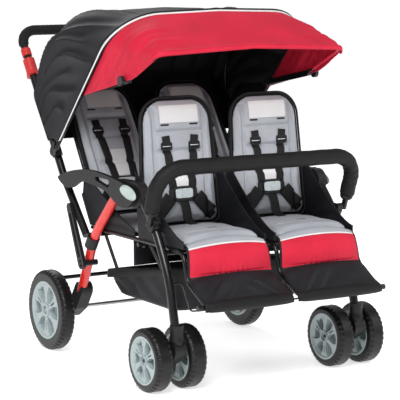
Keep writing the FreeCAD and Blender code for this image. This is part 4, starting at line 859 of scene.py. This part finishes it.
def cushion(name, half_low, half_high, height, round_low, round_high, lines, crown=0.0):
    """One cushion in its own frame: x across, y up along it, z out of its face."""
    thick = PAD_T - 4.0
    outline = panel_outline(half_low - 3, half_high - 3, height - 4, round_low, round_high)
    points, faces = cushion_points(outline, thick)
    points[:, 1] += 2
    points[:, 2] += 1.5
    piece = solid_piece(name, points, faces, LOOKS["grey_cloth"])
    puffed(piece)
    press_channels(piece, thick, lines)
    shaped = read_points(piece.data)
    shaped[:, 2] += crown * (1 - (shaped[:, 0] / half_low) ** 2) * blend01(shaped[:, 2], 0, thick)
    shaped[:, 2] = np.maximum(shaped[:, 2], 1.0)
    write_points(piece.data, shaped)
    soft = piece.modifiers.new("smooth", "SUBSURF")
    soft.levels = soft.render_levels = 1
    return piece


# %% [markdown]
# ## Where each cushion goes
# A seat's cushion lies flat and a back's cushion leans, the rear ones far more than the front ones.
# The helper gives the start and the turn of each from the same values as the CAD model.

# %% Places of the cushions
def bight(side, row):
    """The inner corner of a seat, where its back meets its base."""
    return np.array([side * SEAT_X, -217 + ROWS[row], 415.1])


def back_place(side, row):
    """Start and turn of a back's cushion."""
    lean = math.radians(LEAN[row])
    up = np.array([0, math.sin(lean), math.cos(lean)])
    out = np.array([0, -math.cos(lean), math.sin(lean)])
    start = bight(side, row) + (0, (PAD_T + 0.6) / math.cos(lean), 0) + up * 28.2 + out * 0.6
    return start, 90 - LEAN[row]


def seat_place(side, row):
    """Start and turn of a seat's cushion."""
    return bight(side, row) + (0, -SEAT_DEPTH, 3.6), 0.0


def wrapped(piece, target, offset):
    """Lay a flat piece on a cushion's face and keep it a little above."""
    wrap = piece.modifiers.new("lie", "SHRINKWRAP")
    wrap.target = target
    wrap.wrap_method = "PROJECT"
    wrap.use_project_z = True
    wrap.use_negative_direction = True
    wrap.use_positive_direction = False
    wrap.offset = offset * MM
    return baked(piece)


def ribbon(x0, y0, x1, y1, width, step=6.0, height=60.0):
    """A flat strip above a cushion between two points, as a grid that can be laid down."""
    start, end = np.array([x0, y0]), np.array([x1, y1])
    length = np.linalg.norm(end - start)
    along = (end - start) / length
    side = np.array([-along[1], along[0]])
    u = np.linspace(0, length, max(3, int(length / step)))
    v = np.linspace(-width / 2, width / 2, max(5, int(width / step)))
    grid = start + u[:, None, None] * along + v[None, :, None] * side
    return np.concatenate([grid, np.full(grid.shape[:2] + (1,), height)], -1)


def edge_path(half_low, half_high, height, round_low, round_high, depth, count=180):
    """The outline of a cushion, as a closed path at one depth."""
    path = panel_outline(half_low, half_high, height, round_low, round_high, count + 1)[:-1]
    return np.c_[path, np.full(count, depth)]


# %% [markdown]
# ## A seat back with its harness
# Each back carries a pale patch near its top, two short slots where the shoulder straps come out, the
# straps with their sliders, and a black binding round its edge. They are made once, laid on the
# cushion, and then set down at both places in the row.

# %% Backs
def back_set(row):
    """The pieces of one back in its own frame, as (piece, material slot) pairs."""
    half, height = BACK_HALF[row], BACK_H[row]
    top = half * 0.88
    inner = half * 0.6
    middle = (0.0, inner)
    upright = (height * 0.47, height * 0.47)
    lines = [("x", half * 0.63, 6.0, 13.0, upright)]
    lines += [("y", height * share, 6.0, 10.0, middle) for share in (0.38, 0.58, 0.73)]
    pad = cushion(row + "_back_cushion", half, top, height, ROUND_LOW, ROUND_HIGH, lines)
    path = edge_path(half - 1, top - 1, height, ROUND_LOW, ROUND_HIGH, PAD_T * 0.5)
    binding = tube_piece(row + "_back_binding", path, (0, 0, 1), 3.4, LOOKS["webbing"], 10, True)
    parts = [(pad, "grey_cloth"), (binding, "black_cloth")]
    patch = surface(
        row + "_back_patch", ribbon(0, height * 0.8, 0, height * 0.935, top * 1.1, 4.0), LOOKS["patch"]
    )
    parts.append((wrapped(patch, pad, 1.4), "grey_cloth"))
    low = surface(
        row + "_back_low_patch", ribbon(0, height * 0.27, 0, height * 0.47, half * 0.58, 4.0), LOOKS["patch"]
    )
    parts.append((wrapped(low, pad, 1.4), "grey_cloth"))
    for name, side in SIDES.items():
        slot = surface(
            row + "_back_slot_" + name, ribbon(side * 64, height * 0.785, side * 36, height * 0.785, 5.0),
            LOOKS["webbing"]
        )
        parts.append((wrapped(slot, pad, 0.9), "black_cloth"))
        strap_top = height * 0.7
        strap = surface(
            row + "_shoulder_strap_" + name,
            ribbon(side * 50, strap_top, side * 33, 112.0, 26.0, 4.0),
            LOOKS["webbing"],
            thickness=2.2,
        )
        wrapped_strap = wrapped_first(strap, pad, 2.0, 2.2)
        parts.append((wrapped_strap, "black_cloth"))
        slider = slider_piece(row + "_slider_" + name, side * 48, height * 0.62, PAD_T + 3.0)
        parts.append((slider, "black_plastic"))
        # The pale bar on each slider is a painted highlight in place of the black slider's glints.
        bar = slider_glint_bar(row + "_slider_bar_" + name, side * 48, height * 0.62, PAD_T + 6.0)
        parts.append((bar, "steel"))
        lap = surface(
            row + "_lap_strap_" + name, ribbon(side * 34, 92.0, side * 104, 22.0, 24.0, 4.0),
            LOOKS["webbing"], thickness=2.0
        )
        parts.append((wrapped_first(lap, pad, 2.0, 2.0), "black_cloth"))
        hip = surface(
            row + "_hip_pad_" + name, ribbon(side * 46, 86.0, side * 94, 34.0, 42.0, 4.0),
            LOOKS["pad_cloth"], thickness=7.0
        )
        parts.append((wrapped_first(hip, pad, 7.0, 7.0), "black_cloth"))
    parts += buckle_face(row)
    return parts


def wrapped_first(piece, target, offset, thickness):
    """Lay a strip down before it gets its thickness."""
    piece.modifiers.clear()
    wrapped(piece, target, offset)
    wall = piece.modifiers.new("wall", "SOLIDIFY")
    wall.thickness = thickness * MM
    wall.offset = 0
    return baked(piece)


def box_ring(width, height, depth, hole_w, hole_h):
    """A flat rounded frame with a hole, as a grid of points: four loops carried round the outline."""
    t = np.linspace(0, 2 * np.pi, 40, endpoint=False)
    c, s = np.cos(t), np.sin(t)
    shape = np.stack([np.sign(c) * np.abs(c) ** 0.4, np.sign(s) * np.abs(s) ** 0.4], -1)
    outer, inner = shape * (width / 2, height / 2), shape * (hole_w / 2, hole_h / 2)
    loops = [(inner, 0), (outer, 0), (outer, depth), (inner, depth)]
    grid = np.array([np.c_[loop, np.full(len(t), z)] for loop, z in loops])
    return grid


def rounded_slab(name, x, y, z, width, height, depth, look, power=0.35):
    """A low block with a rounded outline and a soft top edge, from loops that grow and then shrink."""
    t = np.linspace(0, 2 * np.pi, 40, endpoint=False)
    c, s = np.cos(t), np.sin(t)
    shape = np.stack([np.sign(c) * np.abs(c) ** power, np.sign(s) * np.abs(s) ** power], -1)
    levels = [(0.02, 0.0), (0.96, 0.0), (1.0, 0.25), (1.0, 0.6), (0.93, 0.93), (0.85, 1.0), (0.02, 1.0)]
    loops = [
        np.c_[shape * (width / 2 * grow, height / 2 * grow), np.full(len(t), depth * up)] for grow,
        up in levels
    ]
    return surface(name, np.array(loops) + (x, y, z), look, ring_cols=True)


def buckle_face(row):
    """What shows on a buckle: a bright plate, its button, and the prongs that enter from both sides."""
    face = PAD_T + 13.4
    plate = rounded_slab(row + "_buckle_plate", 0, 96.0, face, 60, 29, 2.6, LOOKS["silver"])
    button = rounded_slab(row + "_buckle_button", 0, 93.0, face + 2.6, 18, 11, 2.0, LOOKS["silver"])
    parts = [(plate, "black_plastic"), (button, "black_plastic")]
    for name, side in SIDES.items():
        prong = rounded_slab(
            row + "_prong_" + name, side * 38, 96.0, PAD_T + 3.6, 20, 30, 7, LOOKS["black_plastic"]
        )
        parts.append((prong, "black_plastic"))
    return parts


def slider_piece(name, x, y, z):
    """A strap adjuster's rounded black frame; its pale bar, a painted highlight, is made on its own."""
    grid = box_ring(38, 26, 5.0, 27, 14) + (x, y, z)
    ring = surface(name, grid, LOOKS["black_plastic"], ring_rows=True, ring_cols=True)
    bevel = ring.modifiers.new("edge", "BEVEL")
    bevel.width = 0.8 * MM
    bevel.segments = 2
    return baked(ring)


def slider_glint_bar(name, x, y, z):
    """A pale bar across a strap adjuster: a painted highlight that stands in for the glints on the black
    slider.
    """
    ends = np.array([[x - 15, y, z], [x, y, z], [x + 15, y, z]], dtype=float)
    return tube_piece(name, ends, (0, 0, 1), 2.0, LOOKS["silver"], 8)


def lap_tongue(row):
    """The strap from the buckle down to the seat, and its loose end, as a flat path to the side."""
    lean = math.radians(LEAN[row])
    up, out = np.array([math.sin(lean), math.cos(lean)]), np.array([-math.cos(lean), math.sin(lean)])
    start = np.array([(PAD_T + 0.6) / math.cos(lean), 0]) + up * 28.2 + out * 0.6
    top = start + up * 74 + out * 33
    low = [(-20.0, 52.0), (-44.0, 40.5), (-84.0, 39.0), (-116.0, 38.0), (-134.0, 41.0)]
    mid = top * 0.55 + np.array(low[0]) * 0.45 + (-5.0, 0.0)
    path = resampled(np.array([top, mid, *low]), 90)
    for _ in range(12):
        path[1:-1] = (path[:-2] + 2 * path[1:-1] + path[2:]) / 4
    run = np.linspace(0, 1, 90)
    sway = 16 * blend01(run, 0.55, 1.0)
    wide = np.linspace(-15, 15, 5)
    x = sway[:, None] + wide[None, :]
    return np.stack([x, np.repeat(path[:, :1], 5, 1), np.repeat(path[:, 1:], 5, 1)], -1)


placed_count = 0
for row in ROWS:
    body = "chassis" if row == "front" else "rear_backs"
    made = back_set(row)
    for name, side in SIDES.items():
        start, angle = back_place(side, row)
        for part, slot in made:
            twin = set_down(copy_of(part, part.name + "_" + name[0]), angle, start)
            nodes = ()
            if part.name.endswith("back_cushion"):
                nodes = (row + "_back_pads",)
            elif "shoulder_strap" in part.name:
                nodes = (row + "_shoulder_straps",)
            dress(twin, body, slot, *nodes)
            placed_count += 1
    for part, slot in made:
        bpy.data.objects.remove(part)
print("pieces on the backs:", placed_count)

# %% [markdown]
# ## Seats
# The front seats end in a white piping line; the cushion rolls over the front rail there. One cushion
# form serves both rows.

# %% Seat cushions
seat_lines = [
    ("y", SEAT_DEPTH * 0.3, 5.0, 4.0, (0.0, 90.0)),
    ("x", 92.0, 5.0, 5.0, (SEAT_DEPTH * 0.6, SEAT_DEPTH * 0.4))
]
seat_master = cushion("seat_cushion", 136, 136, SEAT_DEPTH, 22.0, 22.0, seat_lines, crown=9.0)
for row in ROWS:
    for name, side in SIDES.items():
        start, angle = seat_place(side, row)
        twin = set_down(copy_of(seat_master, row + "_seat_cushion_" + name), angle, start)
        dress(twin, "chassis", "grey_cloth", row + "_seat_pads")
        tongue = lap_tongue(row) + bight(side, row)
        strap = surface(row + "_crotch_strap_" + name, tongue, LOOKS["webbing"], thickness=2.2)
        if row == "front":
            dress(strap, "chassis", "black_cloth", "crotch_straps")
            continue
        low_end, high_end = tuple(tongue[44, 2] * MM), tuple(tongue[6, 2] * MM)
        bend_between(strap, "black_cloth", "chassis", "rear_backs", low_end, high_end, "crotch_straps")
bpy.data.objects.remove(seat_master)

# %% [markdown]
# ## Cloth shells of the seats
# Under the cushions each seat is a black cloth shell: a base, a back, and side wings that keep a
# child in. A wing is a loose triangle held along two edges, so it has folds that fan out of its
# low rear corner.

# %% Slings and wings
def wing_points(row, rows=26, cols=30):
    """A wing from its base edge up to its free edge, with folds out of the low rear corner."""
    lean = math.radians(LEAN[row])
    up = np.array([math.sin(lean), math.cos(lean)])
    foot = np.array([(PAD_T + 0.6) / math.cos(lean) + (6 if row == "front" else 24), 0.0])
    along, rise = np.meshgrid(np.linspace(0, 1, cols), np.linspace(0, 1, rows), indexing="ij")
    base = np.array([-SEAT_DEPTH, 0.0]) + along[..., None] * (foot - (-SEAT_DEPTH, 0.0))
    high = 24 + 204 * along**1.5 * (1 - (0.15 if row == "front" else 0.6) * blend01(along, 0.8, 1.0))
    lift = np.stack([along * up[0], along * up[1] + (1 - along)], -1)
    points = base + rise[..., None] * high[..., None] * lift
    swirl = np.arctan2(points[..., 1] + 8, foot[0] - points[..., 0] + 8)
    folds = (
        (4.2 * np.abs(np.sin(swirl * 5)) - 2 + 2.2 * np.sin(swirl * 19 + rise * 3))
        * np.sin(np.pi * rise)
        * np.sin(np.pi * np.clip(along, 0, 1))
    )
    return np.concatenate([folds[..., None], points], -1)


def sling_points(row, rows=16, cols=20):
    """The base: a sheet that hangs a little between its rails."""
    depth, wide = np.meshgrid(np.linspace(0, 1, rows), np.linspace(-1, 1, cols), indexing="ij")
    lean = math.radians(LEAN[row])
    end = (PAD_T + 0.6) / math.cos(lean) - 16
    y = -SEAT_DEPTH + depth * (SEAT_DEPTH + end)
    z = 1.5 - 2.0 * (1 - wide**2) * np.sin(np.pi * depth)
    return np.stack([wide * 141.5, y, z], -1)


def back_sheet(row, rows=40, cols=36):
    """The cloth behind a back's cushion, drawn round the cushion's edge."""
    line = np.linspace(-1, 1, cols)
    a, b = np.meshgrid(line, np.linspace(-1, 1, rows), indexing="ij")
    half = BACK_HALF[row] + 0.8
    height = BACK_H[row] + PAD_T + 1
    x, y, ring = ring_map(a, b, panel_outline(half, half * 0.88, height, 20.0, ROUND_HIGH))
    curl = 5.0 * blend01(ring, 0.93, 1.0)
    slack = -1.5 * np.sin(5 * a + 4 * b) * (1 - a**4) * (1 - b**4)
    return np.stack([x, y, -1.2 + curl + slack * 0.5], -1)


for row in ROWS:
    lean = math.radians(LEAN[row])
    up = np.array([0, math.sin(lean), math.cos(lean)])
    for name, side in SIDES.items():
        base = surface(
            row + "_sling_" + name, sling_points(row) + bight(side, row), LOOKS["black_cloth"],
            thickness=1.8
        )
        dress(base, "chassis", "black_cloth", row + "_slings")
        for place, away in (("outer", side), ("inner", -side)):
            wing = wing_points(row) * (away, 1, 1) + (away * 140.0, 0, 0) + bight(side, row)
            piece = surface(row + "_wing_" + name + "_" + place, wing, LOOKS["black_cloth"], thickness=2.0)
            dress(piece, "chassis", "black_cloth")
        sheet = turned(back_sheet(row), 90 - LEAN[row])
        start = bight(side, row) + (0, (PAD_T + 0.6) / math.cos(lean), 0) + up * 3.6
        cover = surface(row + "_back_sheet_" + name, sheet + start, LOOKS["black_cloth"], thickness=1.8)
        dress(cover, "chassis" if row == "front" else "rear_backs", "black_cloth", row + "_back_slings")

# %% [markdown]
# ## Leg panels
# In front of each front seat a padded panel hangs over the frame: white piping, a satin red band that
# is gathered along its lower edge, and a black flap that hangs over the foot wire. It is one strip along a
# bent line, cut into bands by colour.

# %% Leg panels
CALF_LINE = np.array(
    [
        (-436.0, 424.0),
        (-449.0, 421.5),
        (-459.0, 410.0),
        (-464.0, 397.5),
        (-469.5, 375.0),
        (-474.0, 344.0),
        (-483.0, 329.0),
        (-502.3, 318.5),
        (-524.0, 303.5),
        (-546.0, 289.5),
        (-562.0, 282.0),
        (-574.0, 278.0),
        (-581.0, 269.0),
        (-580.0, 258.0),
    ]
)


def panel_frame(begin, end, rows):
    """Points down the panel's line and the direction out of its face, between two shares of it."""
    line = resampled(CALF_LINE, 240)
    pick = np.linspace(begin, end, rows) * 239
    y = np.interp(pick, np.arange(240), line[:, 0])
    z = np.interp(pick, np.arange(240), line[:, 1])
    ahead = np.stack([np.gradient(y), np.gradient(z)], -1)
    ahead /= np.linalg.norm(ahead, axis=1)[:, None]
    return y[:, None], z[:, None], ahead[:, 1:], -ahead[:, :1]


def panel_band(begin, end, half0, half1, puff, gather, rows=30, cols=90):
    """A band of the leg panel: high in its middle, puffed between seams, gathered at its lower edge."""
    y, z, out_y, out_z = panel_frame(begin, end, rows)
    down, wide = np.meshgrid(np.linspace(0, 1, rows), np.linspace(-1, 1, cols), indexing="ij")
    along = begin + (end - begin) * down
    crown = 19 * (1 - wide**2) * (1 - 0.75 * blend01(along, 0.2, 1.0))
    fullness = puff * np.sin(np.pi * down) ** 0.7 * (1 - wide**8)
    waves = np.abs(np.sin(wide * 23 + 2 * np.sin(wide * 5))) + 0.6 * np.sin(wide * 47 + 1) - 0.5
    rise = (
        crown + fullness
        + gather * waves * (0.55 + 0.45 * np.sin(wide * 4 + 2)) * down**3.5 * (1 - down**14) * (1 - wide**8)
    )
    half = half0 + (half1 - half0) * down
    return np.stack([wide * half, y + out_y * rise, z + out_z * rise], -1)


def flap_creases(points, side):
    """Creases that run up from the flap's low corners and fade before its middle."""
    wide, down = np.meshgrid(np.linspace(-1, 1, points.shape[1]), np.linspace(0, 1, points.shape[0]))
    rise = np.zeros_like(wide)
    for start, slope, top, depth in (
        (-0.85, 0.75, 0.25, 4.0),
        (-0.5, 0.7, 0.4, 3.4),
        (0.8, -0.8, 0.3, 3.8),
        (0.35, -0.6, 0.45, 2.8),
    ):
        line = start + slope * (1 - down)
        crease = ridge(wide, line, 0.05) - 0.8 * bump(wide, line + 0.12 * side, 0.09)
        rise += depth * crease * blend01(down, top, top + 0.3)
    rise += 1.6 * np.sin(wide * 6 + down * 8) * np.sin(np.pi * down)
    rise *= (1 - wide**8) * (1 - down**12) * (1 - (1 - down) ** 12)
    return points + np.stack([0 * rise, -0.45 * rise, 0.9 * rise], -1)


for name, side in SIDES.items():
    middle = np.array([side * 158.0, 0, 0])
    top_roll = panel_band(0.0, 0.1, 131, 134, 1.0, 0.0, rows=8) + middle
    roll = surface("leg_roll_" + name, top_roll, LOOKS["grey_cloth"], thickness=4.0)
    dress(roll, "chassis", "grey_cloth")
    red = panel_band(0.1, 0.445, 134, 141, 9.0, 4.6, cols=160) + middle
    band = surface("leg_band_" + name, red, LOOKS["band_cloth"], thickness=4.0)
    dress(band, "chassis", "red_cloth", "front_calf_panels")
    black = flap_creases(panel_band(0.425, 0.9, 140, 146, 9.0, 0.0, rows=44, cols=120), side) + middle
    flap_piece = surface("leg_flap_" + name, black, LOOKS["black_cloth"], thickness=5.0)
    dress(flap_piece, "chassis", "black_cloth")
    hem = surface(
        "leg_hem_" + name, panel_band(0.895, 1.0, 146, 141, 5.0, 0.0, rows=12) + middle, LOOKS["pad_cloth"],
        thickness=8.0
    )
    dress(hem, "chassis", "black_cloth")
    line = panel_band(0.085, 0.1, 133, 134, 4.0, 0.0, rows=3, cols=90)[1] + middle
    piping = tube_piece("leg_piping_" + name, line, (0, -0.5, 0.87), 2.7, LOOKS["white_cloth"], 8)
    dress(piping, "chassis", "grey_cloth")
    for edge_name, column in (("outer", 0), ("inner", -1)):
        rows = [panel_band(*span, 0, 0)[:, column] for span in ((0.0, 0.44, 131, 141), (0.44, 1.0, 141, 146))]
        path = resampled(np.vstack(rows), 60) + middle
        cord_piece = tube_piece(
            "leg_edge_" + name + "_" + edge_name, path, (1, 0, 0), 4.0, LOOKS["webbing"], 10
        )
        dress(cord_piece, "chassis", "black_cloth")


def rear_leg_cloth(rows=24, cols=40):
    """A short panel that hangs from the rear seats' front edge, with a slow wave."""
    down, wide = np.meshgrid(np.linspace(0, 1, rows), np.linspace(-1, 1, cols), indexing="ij")
    y = -149 - 1.5 * np.sin(4 * wide) * down
    return np.stack([wide * 136, y, 401 - 75 * down], -1)


for name, side in SIDES.items():
    panel = surface(
        "rear_leg_cloth_" + name, rear_leg_cloth() + (side * 158.0, 0, 0), LOOKS["black_cloth"],
        thickness=3.0
    )
    dress(panel, "chassis", "black_cloth", "rear_calf_panels")

# %% [markdown]
# ## The padded belly bar and the foam grip
# The bar's cover is a sewn sleeve. It wrinkles on the inside of each bend and near its ends, so the
# radius of the sweep changes along and round the path. The foam grip is smoother, with rounded ends.

# %% Bar and grip
def belly_path():
    """The bar's line, from one end round to the other."""
    low, top = np.array([-333.0, 482.0]), np.array([-392.0, 645.0])
    up = (top - low) / np.linalg.norm(top - low)
    start = low + up * 34
    corners = [(-346, *start), (-346, *top), (346, *top), (346, *start)]
    return rounded_path(corners, [78, 78], 260), (0, up[1], -up[0])


path, normal = belly_path()
along = np.linspace(0, 1, len(path))[:, None]
turn = np.linspace(0, 2 * np.pi, 28, endpoint=False)[None, :]
near_end = bump(along, 0.1, 0.09) + bump(along, 0.9, 0.09)
wave = (
    np.sin(along * 170 + 2.2 * np.sin(turn) + 3 * np.sin(along * 41)) + 0.6 * np.sin(along * 301 + 2 * turn)
)
wrinkle = (
    0.75 * wave * near_end * (0.4 + 0.6 * np.sin(along * 23 + turn) ** 2)
    + 0.35 * np.sin(along * 83 + 3 * turn)
)
ends = blend01(along, 0.0, 0.012) * (1 - blend01(along, 0.988, 1.0))
radius = (23.2 + wrinkle) * (0.7 + 0.3 * ends)
cover = tube_piece("belly_bar_cover", path, normal, radius, LOOKS["pad_cloth"], 28)
dress(cover, "belly_bar", "foam", "belly_bar_pad")
for name, end in (("right", 0), ("left", -1)):
    spot = path[end]
    ahead = path[1] - path[0] if end == 0 else path[-2] - path[-1]
    ahead = ahead / np.linalg.norm(ahead)
    ring = tube_piece(
        "belly_bar_end_" + name, np.array([spot - ahead * 9, spot - ahead * 4, spot + ahead * 3]), normal,
        np.array([[15.0], [19.0], [20.5]]), LOOKS["black_plastic"], 24
    )
    dress(ring, "belly_bar", "black_plastic")

handle_down = (KNUCKLE - (0, 558.5, 1000)) / np.linalg.norm(KNUCKLE - (0, 558.5, 1000))
grip_corners = [
    np.array([-318, 558.5, 1000]) + handle_down * 59, (-318, 558.5, 1000), (318, 558.5, 1000),
    np.array([318, 558.5, 1000]) + handle_down * 59
]
grip_path = rounded_path(grip_corners, [55, 55], 240)
grip_normal = np.cross((1, 0, 0), handle_down)
along = np.linspace(0, 1, len(grip_path))[:, None]
ends = blend01(along, 0.0, 0.01) * (1 - blend01(along, 0.99, 1.0))
turn = np.linspace(0, 2 * np.pi, 24, endpoint=False)[None, :]
grip_radius = 13.2 + 3.2 * ends**0.5 + 0.18 * np.sin(along * 260 + turn)
grip = tube_piece("handle_foam", grip_path, grip_normal, grip_radius, LOOKS["foam"], 24)
dress(grip, "handle_frame", "foam", "handle_grip")

# %% [markdown]
# ## The basket
# The basket is a tapered cloth tub hung from the rails. Its floor sags, its walls crease at the
# corners, and a wider hem runs round its rim. One sheet is carried round a rounded rectangle from
# the rim down the wall and in across the floor.

# %% Basket
def basket_loop(share, count=120):
    """The tub's outline at a height: share 1 is the rim, 0 the floor's edge."""
    half = 222 + 28 * share
    back = 82 + 40 * share
    front = -268 - 32 * share
    corners = [(0, front), (half, front), (half, back), (-half, back), (-half, front), (0, front)]
    flat = rounded_path([(x, y, 0) for x, y in corners], [40] * 4, count + 1)[:-1]
    part = (flat[:, 1] - front) / (back - front)
    rim_z = 340 + (268 - 340) * part
    flat[:, 2] = 198 + (rim_z - 198) * share
    return flat


def basket_sheet():
    """Wall rows from the rim to the floor's edge, then floor rows drawn in to the middle."""
    rows = [basket_loop(share) for share in np.linspace(1, 0.06, 22)]
    rim = basket_loop(0.0)
    centre = np.array([0, -93.0, 0])
    for share in np.linspace(0.97, 0.02, 14):
        loop = centre + (rim - centre) * (share, share, 1)
        loop[:, 2] = 198 - 7.0 * (1 - share**2)
        rows.append(loop)
    sheet = np.array(rows)
    turn = np.linspace(0, 2 * np.pi, sheet.shape[1], endpoint=False)[None, :]
    down = np.linspace(0, 1, len(rows))[:, None]
    pull = np.sin(np.pi * np.clip(down / 0.6, 0, 1))
    wave = (
        7.0 * np.abs(np.sin(turn * 4 + down * 3)) - 3.5
        + 3.0 * np.sin(turn * 17 - down * 9 + np.sin(turn * 3))
    ) * pull
    outward = sheet - centre
    outward[..., 2] = 0
    outward /= np.maximum(np.linalg.norm(outward, axis=2), 1)[..., None]
    return sheet + outward * (wave[..., None] - 5.0 * pull[..., None])


tub = surface("basket_cloth", basket_sheet(), LOOKS["black_cloth"], ring_cols=True, thickness=1.6)
dress(tub, "chassis", "black_cloth", "basket")
rim_line = basket_loop(0.98)
hem = surface(
    "basket_hem",
    np.array(
        [
            rim_line + (0, 0, 3),
            rim_line * (1.012, 1.01, 1) + (0, 0, -6),
            rim_line * (1.012, 1.01, 1) + (0, 0, -22),
            basket_loop(0.8),
        ]
    ),
    LOOKS["pad_cloth"], ring_cols=True, thickness=2.5
)
dress(hem, "chassis", "black_cloth")
for name, side in SIDES.items():
    for place, share in (("front", 0.12), ("back", 0.78)):
        y = -300 + 422 * share
        rim_z = 340 - 72 * share
        part = 1 - 22 / (rim_z - 198)
        low = np.array([side * (222 + 28 * part + 1.0), y, rim_z - 22])
        high = np.array([side * 294.0, y, 401.0])
        rise = np.linspace(0, 1, 12)[:, None, None]
        wide = np.linspace(-11, 11, 5)[None, :, None] * np.array([0, 1, 0])
        strap = low + (high - low) * rise + wide
        piece = surface("basket_strap_" + name + "_" + place, strap, LOOKS["webbing"], thickness=1.6)
        dress(piece, "chassis", "black_cloth")

# %% [markdown]
# ## Tread on the tyres
# Each tyre has a row of raised lugs on both shoulders. One lug is a small curved block; turning it
# round the axle in equal steps, all as one array, gives the whole ring.

# %% Tread
def lug_ring(name, centre, radius, half, count, body):
    """Lugs on both shoulders of one tyre, as one piece."""
    across_x = np.array([half - 13.5, half - 8.0, half - 3.0, half - 0.2])
    level = np.array([radius - 0.4, radius - 1.6, radius - 4.6, radius - 12.5])
    rise = 1.1
    angle = np.array([-0.5, -0.36, 0.36, 0.5]) * (2 * np.pi / count) * 0.78
    height = np.array([-1.2, rise, rise, -1.2])
    x = np.broadcast_to(across_x[:, None], (4, 4))
    reach = level[:, None] + height[None, :]
    block = np.stack([x, reach * np.sin(angle)[None, :], reach * np.cos(angle)[None, :]], -1).reshape(-1, 3)
    turns = np.arange(count) * 2 * np.pi / count
    c, s = np.cos(turns), np.sin(turns)
    zero, one = np.zeros(count), np.ones(count)
    spin = np.array([[one, zero, zero], [zero, c, -s], [zero, s, c]]).transpose(2, 0, 1)
    ring = np.einsum("nij,pj->npi", spin, block)
    twin = ring * (-1, 1, 1)
    half_step = 2 * np.pi / count / 2
    c2, s2 = math.cos(half_step), math.sin(half_step)
    twin = twin @ np.array([[1, 0, 0], [0, c2, -s2], [0, s2, c2]]).T
    points = np.concatenate([ring, twin]).reshape(-1, 3) + centre
    faces = lattice(4, 4)
    faces = (faces[None] + (np.arange(2 * count) * 16)[:, None, None]).reshape(-1, 4)
    piece = solid_piece(name, points, faces, LOOKS["tyre"])
    return dress(piece, body, "tyre")


for name, side in SIDES.items():
    lug_ring("rear_tread_" + name, (side * 359.5, 270, 127), 127.0, 22.5, 46, "rear_wheel_" + name)
    for place, away in (("outer", side), ("inner", -side)):
        centre = (side * 318 + away * 56, -386, 93)
        lug_ring(
            "caster_tread_" + name + "_" + place, centre, 93.0, 27.0, 34,
            "caster_wheel_" + name + "_" + place
        )
